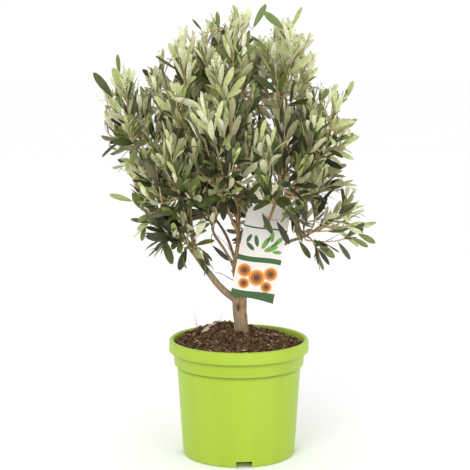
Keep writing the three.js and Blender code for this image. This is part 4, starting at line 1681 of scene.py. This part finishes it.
@dataclass
class HangCard:
    """The card that hangs on a front branch: arched at its top, bent back at its edges."""

    hook: Point = (42, -19, 361)
    width: float = 67
    side: float = 126
    arch: float = 26
    crown: float = 0.25
    thickness: float = 0.6
    tilt: float = math.radians(11)
    curl: float = 4
    foot_wave: float = 3
    foot_wave_power: int = 8
    hole_radius: float = 4.6
    hole_drop: float = 1.4
    hole_height: float = 117
    hole_sides: int = 40
    cutter_depth: float = 30
    smooth_degrees: float = 40
    grid: tuple[int, int] = (16, 44)
    finish: CardPrint = CardPrint()

    def __post_init__(self) -> None:
        """Works out the card's own ways, and the middle of its hole and of its foot in metres."""
        self.across = Vector((math.cos(self.tilt), 0, -math.sin(self.tilt)))
        self.up = Vector((math.sin(self.tilt), 0, math.cos(self.tilt)))
        self.hole = metres(self.hook) - self.up * self.hole_drop * MM
        self.foot = self.hole - self.up * self.hole_height * MM

    def near(self, points: np.ndarray, margin: float) -> bool:
        """Whether any of some points is in the card or nearer to it than a margin.

        Args:
            points: Points in metres, one a row.
            margin: The margin, in metres.

        Returns:
            True if one is.
        """
        away = points - np.array(self.foot)
        across = np.abs(away @ np.array(self.across))
        up = away @ np.array(self.up)
        inside = ((across < self.width / 2 * MM + margin) & (up > -margin)
                  & (up < (self.side + self.arch) * MM + margin)
                  & (away[:, 1] > -margin) & (away[:, 1] < self.curl * MM + margin))
        return bool(inside.any())

    def sheet(self) -> Piece:
        """A grid that is shaped to the card's outline and curl, its flat places kept as its map.

        Returns:
            The sheet, which looks to the front.
        """
        bpy.ops.mesh.primitive_grid_add(x_subdivisions=self.grid[0], y_subdivisions=self.grid[1], size=1)
        piece = bpy.context.object
        places = []
        for vertex in piece.data.vertices:
            x, share = vertex.co.x, vertex.co.y + 0.5
            turn = max(0.0, share - 0.5) * math.pi
            up = 2 * share * self.side if share < 0.5 else self.side + self.arch * math.sin(turn)
            up += self.foot_wave * math.sin(math.pi * (x + 0.5)) * (1 - share) ** self.foot_wave_power
            across = x * self.width * lerp(self.crown, 1, math.cos(turn))
            back = self.curl * (across / (self.width / 2)) ** 2
            places.append((across * MM, up * MM))
            flat = self.foot + self.across * across * MM + self.up * up * MM
            vertex.co = flat + Vector((0, back * MM, 0))
        layer = piece.data.uv_layers.active or piece.data.uv_layers.new(name="print")
        for loop in piece.data.loops:
            layer.data[loop.index].uv = places[loop.vertex_index]
        with edit_mode(piece):
            bpy.ops.mesh.normals_make_consistent(inside=False)
        if piece.data.polygons[0].normal.y > 0:
            piece.data.flip_normals()
        return piece

    def build(self) -> Piece:
        """Builds the card: its sheet, thickened, and cut by its hole.

        Returns:
            The finished card.
        """
        piece = self.sheet()
        finish_with(piece, "SOLIDIFY", thickness=self.thickness * MM, offset=-1, use_rim=True)
        bpy.ops.mesh.primitive_cylinder_add(
            vertices=self.hole_sides, radius=self.hole_radius * MM, depth=self.cutter_depth * MM,
            location=self.hole, rotation=(math.pi / 2, 0, 0))
        cut_by(piece, bpy.context.object)
        smooth_by_angle(piece, self.smooth_degrees)
        for face in piece.data.polygons:
            looks_forwards = face.normal.y <= -0.5
            face.material_index = 0 if looks_forwards else 1
        name_piece(piece, "card_printed", Slot.CARD, self.finish.material(), self.finish.back())
        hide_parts("label_card")
        return piece


class Obstacles:
    """What twigs and leaves keep clear of: the limbs, as stretches, the card and the clearings."""

    STRETCHES = 8

    def __init__(self, limbs: Sequence[Limb], card: HangCard) -> None:
        """Cuts the limbs into stretches.

        Args:
            limbs: The limbs.
            card: The card.
        """
        stretches = [(a, b, limb.radius(i / self.STRETCHES)) for limb in limbs
                     for i, (a, b) in enumerate(pairwise(limb.line.spaced(self.STRETCHES + 1)))]
        self.starts, ends, self.radii = (np.array(part) for part in zip(*stretches))
        self.ways = ends - self.starts
        self.squares = (self.ways**2).sum(1)
        self.card = card
        self.open_centres, self.open_reaches = (np.array(part) * MM for part in zip(*CLEARINGS))

    def clear(self, points: np.ndarray, margin: float) -> bool:
        """Whether all of some points keep a margin to every limb and to the card.

        Args:
            points: Points in metres, one a row.
            margin: The least distance.

        Returns:
            True if they are clear, and in no clearing.
        """
        into = (points[:, None, :] - self.open_centres[None]) / self.open_reaches[None]
        if ((into**2).sum(2) < 1).any():
            return False
        away = points[:, None, :] - self.starts[None]
        share = np.clip((away * self.ways[None]).sum(2) / self.squares[None], 0, 1)
        apart = np.linalg.norm(away - share[..., None] * self.ways[None], axis=2)
        return bool((apart > self.radii[None] + margin).all()) and not self.card.near(points, margin)


@dataclass
class Mass:
    """One mass in the making. Its space is an ellipsoid, cut by a plane towards each other mass."""

    plan: MassPlan
    obstacles: Obstacles
    dice: Dice

    GAP = 0.5 * MM
    SKIN_SLACK = 3

    def __post_init__(self) -> None:
        """Works out the mass's space among all the masses."""
        self.centre = np.array(self.plan.centre) * MM
        self.reach = np.array(self.plan.reach) * MM
        size = float(self.reach.mean())
        normals, offsets = [], []
        for other in MASS_PLANS:
            if other is self.plan:
                continue
            normal = np.array(other.centre) * MM - self.centre
            apart = float(np.linalg.norm(normal))
            other_size = float(np.mean(other.reach)) * MM
            normals.append(normal / apart)
            offsets.append((apart**2 + size**2 - other_size**2) / (2 * apart))
        self.normals = np.array(normals)
        self.offsets = np.array(offsets)

    def holds(self, points: np.ndarray, slack: float = 0.0) -> bool:
        """Whether all of some points lie in the space.

        Args:
            points: Points in metres, one a row.
            slack: How far past the planes they may go, and for a third of it past the skin.

        Returns:
            True if they do.
        """
        away = points - self.centre
        if (((away / (self.reach + slack / self.SKIN_SLACK)) ** 2).sum(1) > 1).any():
            return False
        return bool((away @ self.normals.T <= self.offsets - self.GAP + slack).all())

    def depth(self, point: Vector) -> float:
        """How deep a point lies, from 0 at the space's skin to 1 at its middle."""
        away = (np.array(point) - self.centre) / self.reach
        return max(0.0, 1 - float(np.linalg.norm(away)))

    def has_room(self, line: Line, count: int, beyond: Vector, margin: float) -> bool:
        """Whether a twig keeps to the space and clear of all else.

        Args:
            line: The twig's line.
            count: How many of its points are looked at.
            beyond: How far the leaves at its tip go on from there.
            margin: The least distance to what it keeps clear of, in millimetres.

        Returns:
            True if it does.
        """
        points = np.array(line.spaced(count))
        past = line.at(1) + beyond
        return self.holds(np.array([*points, past])) and self.obstacles.clear(points[1:], margin * MM)


@dataclass(frozen=True)
class ShootRule:
    """How shoots leave a mass's stem.

    Shoots start from the stem's tip down to its lowest share, and turn from the front, along
    the way that the mass leans, to the back. A shoot is drawn out first and then up. Where it
    has no room it shrinks, down to the least share of the mass's reach.
    """

    front: float = 0.95
    back: float = -0.55
    lowest: float = 0.2
    jitter: float = 0.5
    reach: float = 0.95
    reaches: Range = (0.85, 1.1)
    shrink: float = 0.9
    least: float = 0.1
    out: float = 0.84
    up: float = 0.22
    tests: int = 7
    room: float = 22
    margin: float = 1.5
    radii: Range = (1.7, 0.8)
    bud_chance: float = 0.8


@dataclass(frozen=True)
class SideRule:
    """How side twigs leave a shoot, from its tip down.

    A side twig is the longer the further it is from the tip. Its way mixes the shoot's way, the
    way aside and the way up.
    """

    first: float = 26
    last_share: float = 0.9
    shortest: float = 16
    growth: float = 0.42
    longest: float = 66
    lengths: Range = (0.7, 1.1)
    tries: Point = (1.0, 0.75, 0.55)
    way_along: float = 0.75
    way_aside: float = 0.5
    way_up: float = 0.7
    bend_along: float = 0.4
    bend_aside: float = 0.8
    bend_share: float = 0.4
    fineness: int = 6
    spacing: float = 20
    spacings: Range = (0.8, 1.3)
    tests: int = 4
    room: float = 14
    margin: float = 1.2
    radii: Range = (1.0, 0.6)
    bud_chance: float = 0.45


@dataclass(frozen=True)
class LeafRule:
    """How opposite leaves sit along a twig.

    Where a leaf has no room, a smaller one is tried, turned round the twig by the given angle.
    """

    length: float = 53
    width: float = 10.8
    narrowing: float = 0.7
    widths: Range = (0.85, 1.12)
    sizes: Range = (0.74, 1.16)
    growth: float = 1.6
    rolls: Range = (-1.0, 1.0)
    bends: Range = (-0.25, 0.75)
    twists: Range = (-0.4, 0.4)
    tip_angle: float = math.radians(13)
    old_angle: float = math.radians(33)
    angles: Range = (-0.16, 0.22)
    turns: Range = (-0.3, 0.3)
    first: float = 0.5
    last_share: float = 0.8
    old_at: float = 70
    pair_spacing: Range = (11, 16)
    spacings: Range = (0.85, 1.2)
    tries: tuple[Range, ...] = ((1, 0), (0.9, 0.5), (0.8, -0.5), (0.7, 1.0))
    slack: float = 16
    margin: float = 1.2
    upright: float = 0.01


@dataclass(frozen=True)
class TintRule:
    """How dark a leaf is tinted: young at the tips and at the top, old and in painted shade inside and
    below.
    """

    foot: float = 300
    rise: float = 400
    base: float = 0.62
    by_age: float = 0.5
    by_height: float = 0.62
    painted_shade_by_depth: float = 0.3
    by_spray: float = 1.3
    spray_middle: float = 0.45
    spray_range: Range = (-0.3, 0.3)
    limits: tuple[tuple[float, Tint], ...] = (
        (0.18, Tint.NEW), (0.5, Tint.YOUNG), (0.85, Tint.MATURE), (1.2, Tint.OLD))

    def tint(self, mass: Mass, gloom: float, place: Vector, age: float, spray: float) -> Tint:
        """The tint of a leaf.

        Args:
            mass: Its mass.
            gloom: How much darker its mass and spray are tinted, for age and as painted shade.
            place: Where it sits.
            age: Its age along the twig, from 0 at the tip to 1.
            spray: A random number of its spray.

        Returns:
            The tint.
        """
        # The value, and so the darkness of the tint, rises with age along the twig, with depth in the mass,
        # lower down and with gloom: age and painted shade together.
        height = (place.z / MM - self.foot) / self.rise
        value = (self.base + self.by_age * age - self.by_height * height
                 + self.painted_shade_by_depth * mass.depth(place) + gloom
                 + self.by_spray * (spray - self.spray_middle))
        return next((tint for limit, tint in self.limits if value < limit), Tint.SHADED)


@dataclass
class Buds:
    """Loose heads of small round buds at the tips of the upper twigs."""

    lengths: Range = (9, 22)
    lean_up: float = 0.3
    stalk: Point = (0.5, 0.4, 0.35)
    stalk_sides: int = 4
    counts: Range = (12, 26)
    places: Range = (0.1, 1.0)
    spread: Range = (1.5, 6.5)
    sizes: Range = (1.0, 2.0)
    skin: LeafSkin = LeafSkin("bud", linear(222, 222, 178), 0.6)
    seed: int = 1009

    CORNERS = ((1, 0, 0), (-1, 0, 0), (0, 1, 0), (0, -1, 0), (0, 0, 1), (0, 0, -1))
    FACES = ((0, 2, 4), (2, 1, 4), (1, 3, 4), (3, 0, 4), (2, 0, 5), (1, 2, 5), (3, 1, 5), (0, 3, 5))

    def build(self, tips: Sequence[tuple[Vector, Vector]]) -> Piece:
        """Builds the heads.

        Args:
            tips: The tips that bear one, each with its twig's way there.

        Returns:
            The finished buds.
        """
        dice = Dice(self.seed)
        cluster = Cluster()
        corners = np.array(self.CORNERS, float)
        for tip, along in tips:
            length = dice.between(*self.lengths) * MM
            top = tip + (along + UP * self.lean_up).normalized() * length
            stalk = [tip, tip.lerp(top, 0.5), top]
            cluster.add_tube(stalk, [radius * MM for radius in self.stalk], self.stalk_sides)
            for _ in range(int(dice.between(*self.counts))):
                place = tip.lerp(top, dice.between(*self.places))
                place = place + dice.way() * dice.between(*self.spread) * MM
                cluster.add(corners * (dice.between(*self.sizes) * MM) + np.array(place), self.FACES)
        return cluster.joined("buds", Slot.FOLIAGE, self.skin.material())


@dataclass
class Crown:
    """All the foliage, grown on from the limbs by a seeded rule.

    Each mass has a stem from its bearer's tip, shoots that rise from the stem by the golden
    angle, side twigs on the shoots, and opposite leaves, each pair turned a quarter from the last.
    """

    limbs: dict[str, Limb]
    card: HangCard
    heart: Point = (-5, 0, 430)
    lean_up: float = 0.6
    stem_share: float = 0.72
    stem_overlap: float = 1
    stem_tip: float = 1.3
    shoots: ShootRule = ShootRule()
    sides: SideRule = SideRule()
    leafing: LeafRule = LeafRule()
    tints: TintRule = TintRule()
    spray_radii: Range = (1.4, 0.7)
    stalk_radii: Range = (0.9, 0.6)
    stalk_bend: float = 0.5
    lone_bend: float = 0.12
    lone_twist: float = 0.1
    lone_looks: Point = (0, -1, 0.4)
    lone_new_looks: Point = (0, 0.5, 0.4)
    near_shares: tuple[float, ...] = (0.25, 0.5, 0.75, 0.95)
    lowest_bud: float = 545
    twig_step: float = 9
    wood_skin: TwigSkin = TwigSkin("twig_woody", linear(150, 122, 90), linear(104, 82, 62))
    green_skin: TwigSkin = TwigSkin("twig_green", linear(214, 190, 142), linear(174, 148, 102))
    wood_sides: int = 7
    green_sides: int = 5
    smooth_degrees: float = 50
    first_seed: int = 1009
    twigs: list[Twig] = field(default_factory=list)
    leaves: list[Leaf] = field(default_factory=list)
    bud_tips: list[tuple[Vector, Vector]] = field(default_factory=list)

    def stem_of(self, plan: MassPlan) -> Twig:
        """The stem of a mass: on from its bearer's tip, towards the middle of its space.

        Args:
            plan: The mass.

        Returns:
            The stem.
        """
        bearer = self.limbs[plan.bearer]
        along = bearer.line.along(1 - Line.HALF_STEP)
        start = bearer.line.at(1)
        heart = start.lerp(metres(plan.centre), self.stem_share)
        reach = heart - start
        bend = start + along * (reach.length_squared / (2 * reach.dot(along)))
        line = Line.bowed(start - along * (self.stem_overlap * MM), bend, heart)
        return Twig(line, (bearer.radii[1], self.stem_tip * MM), woody=True)

    def shoot_ways(self, mass: Mass) -> list[Vector]:
        """The ways that a mass's shoots go, spread round the way that it leans.

        Args:
            mass: The mass.

        Returns:
            The ways, for a space that is a ball of radius 1.
        """
        lean = (metres(mass.plan.centre) - metres(self.heart)).normalized()
        lean.z += self.lean_up
        to_lean = UP.rotation_difference(lean.normalized())
        ways = []
        for i in range(mass.plan.shoots):
            cosine = lerp(self.shoots.front, self.shoots.back, i / (mass.plan.shoots - 1))
            sine = math.sqrt(1 - cosine * cosine)
            turn = i * GOLDEN_ANGLE + mass.dice.roll() * self.shoots.jitter
            ways.append(to_lean @ Vector((math.cos(turn) * sine, math.sin(turn) * sine, cosine)))
        return ways

    def shoot(self, mass: Mass, start: Vector, way: Vector, share: float) -> Line | None:
        """The longest shoot that goes a given way and keeps to the space.

        Args:
            mass: Its mass.
            start: Where it leaves the stem.
            way: The way that it goes from the space's middle.
            share: How far it tries to reach at first.

        Returns:
            Its line, or None where there is no room.
        """
        rule = self.shoots
        while share > rule.least:
            aim = Vector(mass.centre) + Vector([a * b * share for a, b in zip(way, mass.reach)])
            out = (aim - start).to_2d().length
            bend = Vector((lerp(start.x, aim.x, rule.out), lerp(start.y, aim.y, rule.out),
                           lerp(start.z, aim.z, rule.up) - mass.plan.lift * out))
            line = Line.bowed(start, bend, aim)
            if mass.has_room(line, rule.tests, line.along(1) * rule.room * MM, rule.margin):
                return line
            share *= rule.shrink
        return None

    def side_twigs(self, mass: Mass, line: Line) -> list[Line]:
        """The side twigs of one shoot.

        Args:
            mass: The shoot's mass.
            line: The shoot's line.

        Returns:
            Their lines, from the shoot's tip down.
        """
        rule, dice = self.sides, mass.dice
        made = []
        back = rule.first * MM
        turn = dice.between(0, math.pi)
        while back < line.length * rule.last_share:
            share = 1 - back / line.length
            start, along = line.at(share), line.along(share)
            side = (Quaternion(along, turn) @ along.orthogonal()).normalized()
            length = min(rule.longest * MM, rule.shortest * MM + rule.growth * back)
            length *= dice.between(*rule.lengths)
            way = (along * rule.way_along + side * rule.way_aside + UP * rule.way_up).normalized()
            bow = side * rule.bend_aside + along * rule.bend_along
            for shorter in rule.tries:
                bend = start + bow * length * shorter * rule.bend_share
                twig = Line.bowed(start, bend, start + way * length * shorter, rule.fineness)
                if mass.has_room(twig, rule.tests, way * (rule.room * MM), rule.margin):
                    made.append(twig)
                    break
            turn += GOLDEN_ANGLE
            back += rule.spacing * mass.plan.open_by * MM * dice.between(*rule.spacings)
        return made

    def leaf(self, mass: Mass, point: Vector, along: Vector, turn: float, angle: float, size: float,
             tint: Tint) -> Leaf:
        """One leaf on a twig.

        Args:
            mass: Its mass.
            point: Where it sits on the twig.
            along: The twig's way there.
            turn: How far round the twig it sits.
            angle: From the twig to the leaf.
            size: Its size, where 1 is full grown.
            tint: Its tint.

        Returns:
            The leaf.
        """
        rule, dice = self.leafing, mass.dice
        level = UP.cross(along)
        if level.length_squared < rule.upright:
            level = Vector((1, 0, 0))
        side = Quaternion(along, turn) @ level.normalized()
        way = along * math.cos(angle) + side * math.sin(angle)
        way.z -= mass.plan.droop * math.sin(angle)
        way.normalize()
        face = Quaternion(way, dice.between(*rule.rolls)) @ square_to(way, along)
        width = rule.width * size**rule.narrowing * MM * mass.plan.broad * dice.between(*rule.widths)
        bend, twist = dice.between(*rule.bends), dice.between(*rule.twists)
        return Leaf(point, way, face, rule.length * size * MM, width, bend, twist, tint)

    def dress(self, mass: Mass, line: Line, spray: Spray | None = None) -> None:
        """Sets opposite leaves along a twig, from its tip down.

        Args:
            mass: The twig's mass.
            line: The twig's line.
            spray: What sets the twig apart from the others, where something does.
        """
        rule, dice = self.leafing, mass.dice
        gloom = mass.plan.gloom + (spray.shift if spray else 0)
        grown = spray.size if spray else 1
        back, quarter_turns = rule.first * MM, 0
        first = dice.between(0, math.pi)
        tone = dice.roll()
        while back < line.length * rule.last_share:
            share = 1 - back / line.length
            point, along = line.at(share), line.along(share)
            age = min(1.0, back / (rule.old_at * MM))
            for opposite in (0, math.pi):
                turn = first + quarter_turns * math.pi / 2 + opposite + dice.between(*rule.turns)
                angle = lerp(rule.tip_angle, rule.old_angle, age) + dice.between(*rule.angles)
                size = lerp(mass.plan.young_size, 1, min(1, age * rule.growth))
                size = size * dice.between(*rule.sizes) * grown
                tint = self.tints.tint(mass, gloom, point, age, tone + dice.between(*self.tints.spray_range))
                for smaller, shift in rule.tries:
                    leaf = self.leaf(mass, point, along, turn + shift, angle, size * smaller, tint)
                    corners = leaf.corners()
                    held = spray is not None or mass.holds(corners, rule.slack * MM)
                    if held and mass.obstacles.clear(corners, rule.margin * MM):
                        self.leaves.append(leaf)
                        break
            spacing = spray.spacing if spray else lerp(*rule.pair_spacing, age) * mass.plan.open_by
            back += spacing * MM * dice.between(*rule.spacings)
            quarter_turns += 1

    def nearest(self, place: Vector) -> tuple[Vector, Vector]:
        """The nearest point of any twig to a place.

        Args:
            place: The place.

        Returns:
            The point, and the twig's way there.
        """
        spots = [(twig.line, share) for twig in self.twigs for share in self.near_shares]
        line, share = min(spots, key=lambda spot: (spot[0].at(spot[1]) - place).length)
        return line.at(share), line.along(share)

    def add_twig(self, line: Line, radii: Range) -> None:
        """Adds a green twig with the radii of its ends in millimetres."""
        self.twigs.append(Twig(line, (radii[0] * MM, radii[1] * MM)))

    def add_bud(self, mass: Mass, line: Line, chance: float) -> None:
        """Lets a twig's tip bear buds, by chance, where it is high enough."""
        if line.at(1).z > self.lowest_bud * MM and mass.dice.roll() < chance:
            self.bud_tips.append((line.at(1), line.along(1)))

    def grow_mass(self, mass: Mass, stem: Twig) -> None:
        """Grows a mass: its shoots, its side twigs, their leaves and its sprays.

        Args:
            mass: The mass.
            stem: Its stem.
        """
        rule, plan = self.shoots, mass.plan
        self.twigs.append(stem)
        for i, way in enumerate(self.shoot_ways(mass)):
            start = stem.line.at(lerp(1, rule.lowest, i / (plan.shoots - 1)))
            line = self.shoot(mass, start, way, rule.reach * mass.dice.between(*rule.reaches))
            if line is None:
                continue
            self.add_twig(line, rule.radii)
            self.dress(mass, line)
            self.add_bud(mass, line, rule.bud_chance)
            for side in self.side_twigs(mass, line):
                self.add_twig(side, self.sides.radii)
                self.dress(mass, side)
                self.add_bud(mass, side, self.sides.bud_chance)
        for spray in SPRAYS:
            if spray.mass == plan.name:
                start, _ = self.nearest(metres(spray.through[0]))
                line = Line.smooth([start, *(metres(point) for point in spray.through)])
                self.add_twig(line, self.spray_radii)
                self.dress(mass, line, spray)

    def grow_lone_leaf(self, plan: LoneLeaf) -> None:
        """Grows a leaf that shows at the crown's edge, on a stalk of its own.

        Args:
            plan: The leaf. A new one shows its under side to the front.
        """
        root, tip = metres(plan.root), metres(plan.tip)
        start, along = self.nearest(root)
        bend = start + along * (root - start).length * self.stalk_bend
        self.add_twig(Line.bowed(start, bend, root, self.sides.fineness), self.stalk_radii)
        way = (tip - root).normalized()
        looks = Vector(self.lone_new_looks if plan.tint is Tint.NEW else self.lone_looks).normalized()
        self.leaves.append(Leaf(root, way, square_to(way, looks), (tip - root).length, plan.width * MM,
                                self.lone_bend, self.lone_twist, plan.tint))

    def grow(self) -> None:
        """Grows every mass in turn, and then the lone leaves."""
        stems = [self.stem_of(plan) for plan in MASS_PLANS]
        for number, (plan, stem) in enumerate(zip(MASS_PLANS, stems), 1):
            others = [*self.limbs.values(), *(other for other in stems if other is not stem)]
            mass = Mass(plan, Obstacles(others, self.card), Dice(self.first_seed * number))
            self.grow_mass(mass, stem)
            LOG.info("%s: %d leaves so far", plan.name, len(self.leaves))
        for lone in LONE_LEAVES:
            self.grow_lone_leaf(lone)

    def twig_piece(self, woody: bool) -> Piece:
        """The twigs of one kind.

        Args:
            woody: Whether it is the kind of old wood.

        Returns:
            The finished twigs.
        """
        skin, sides = (self.wood_skin, self.wood_sides) if woody else (self.green_skin, self.green_sides)
        cluster = Cluster()
        for twig in self.twigs:
            if twig.woody is woody:
                count = max(3, round(twig.line.length / (self.twig_step * MM)) + 1)
                radii = [twig.radius(i / (count - 1)) for i in range(count)]
                cluster.add_tube(twig.line.spaced(count), radii, sides)
        return cluster.joined("twigs_woody" if woody else "twigs_green", Slot.FOLIAGE, skin.material())

    def leaf_piece(self, tint: Tint) -> Piece:
        """The leaves of one tint.

        Args:
            tint: The tint.

        Returns:
            The finished leaves.
        """
        cluster = Cluster()
        for leaf in self.leaves:
            if leaf.tint is tint:
                leaf.add_to(cluster)
        piece = cluster.joined(f"leaves_{tint.name.lower()}", Slot.FOLIAGE, *tint.materials())
        smooth_by_angle(piece, self.smooth_degrees)
        return piece

    def build(self) -> list[Piece]:
        """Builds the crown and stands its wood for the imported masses.

        Returns:
            The finished twigs, leaves and buds.
        """
        wood, green = self.twig_piece(woody=True), self.twig_piece(woody=False)
        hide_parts(*(f"foliage_{plan.name}" for plan in MASS_PLANS))
        return [wood, green, *(self.leaf_piece(tint) for tint in Tint), Buds().build(self.bud_tips)]


@dataclass
class Studio:
    """The floor, lights and camera. Metres and watts, apart from the camera's place."""

    camera_at: Point = (-6, -2000, 620)
    pitch_down: float = math.radians(7.87)
    focal_pixels: float = 1310
    picture_pixels: float = 470
    sensor: float = 36
    sky: float = 1.06
    floor_size: float = 60
    floor_tones: tuple[Colour, Colour] = ((0.93, 0.93, 0.93), (0.95, 0.95, 0.95))
    looks_at: Point = (0, 0, 0.4)
    lamp_size: float = 1.2
    lamps: tuple[tuple[str, Point, float], ...] = (
        ("key", (-0.9, -2.4, 2.0), 26), ("fill", (1.5, -2.2, 1.1), 10))

    def floor(self) -> None:
        """Lays a plain pale floor."""
        bpy.ops.mesh.primitive_plane_add(size=self.floor_size)
        plane = bpy.context.object
        plane.name = "floor"
        surface = Surface("floor_paint", 0.9, gloss=0.1)
        plane.data.materials.append(surface.colour(surface.mix(surface.spots(scale=2), *self.floor_tones)))

    def lamp(self, name: str, place: Point, power: float) -> None:
        """Adds a square soft light that looks at the plant.

        Args:
            name: Its name.
            place: Where it stands.
            power: Its power.
        """
        light = bpy.data.lights.new(name, "AREA")
        light.energy = power
        light.size = self.lamp_size
        lamp = bpy.data.objects.new(name, light)
        lamp.location = place
        lamp.rotation_mode = "QUATERNION"
        lamp.rotation_quaternion = (Vector(self.looks_at) - Vector(place)).to_track_quat("-Z", "Y")
        bpy.context.scene.collection.objects.link(lamp)

    def build(self) -> None:
        """Sets the world, the lights, the floor and the camera."""
        scene = bpy.context.scene
        world = bpy.data.worlds.new("studio")
        world.use_nodes = True
        background = world.node_tree.nodes["Background"]
        background.inputs["Color"].default_value = (1, 1, 1, 1)
        background.inputs["Strength"].default_value = self.sky
        scene.world = world
        scene.view_settings.view_transform = "Standard"
        for name, place, power in self.lamps:
            self.lamp(name, place, power)
        self.floor()
        data = bpy.data.cameras.new("camera")
        data.sensor_width = self.sensor
        data.lens = self.focal_pixels / self.picture_pixels * self.sensor
        camera = bpy.data.objects.new("camera", data)
        camera.location = metres(self.camera_at)
        camera.rotation_euler = (math.pi / 2 - self.pitch_down, 0, 0)
        scene.collection.objects.link(camera)
        scene.camera = camera


def main() -> None:
    """Builds the plant and its pot, piece by piece."""
    logging.basicConfig(level=logging.INFO, format="%(name)s %(message)s")
    Studio().build()
    pot = Pot()
    soil = Soil(pot)
    for part in (pot, soil, Crumbs(soil), Fibres(soil), Flecks(soil), FallenLeaf(soil)):
        report(part.build())
    bark = Bark()
    card = HangCard()
    crown = Crown(bark.grow(), card)
    for part in (bark, card):
        report(part.build())
    crown.grow()
    for piece in crown.build():
        report(piece)


if __name__ == "__main__":
    main()
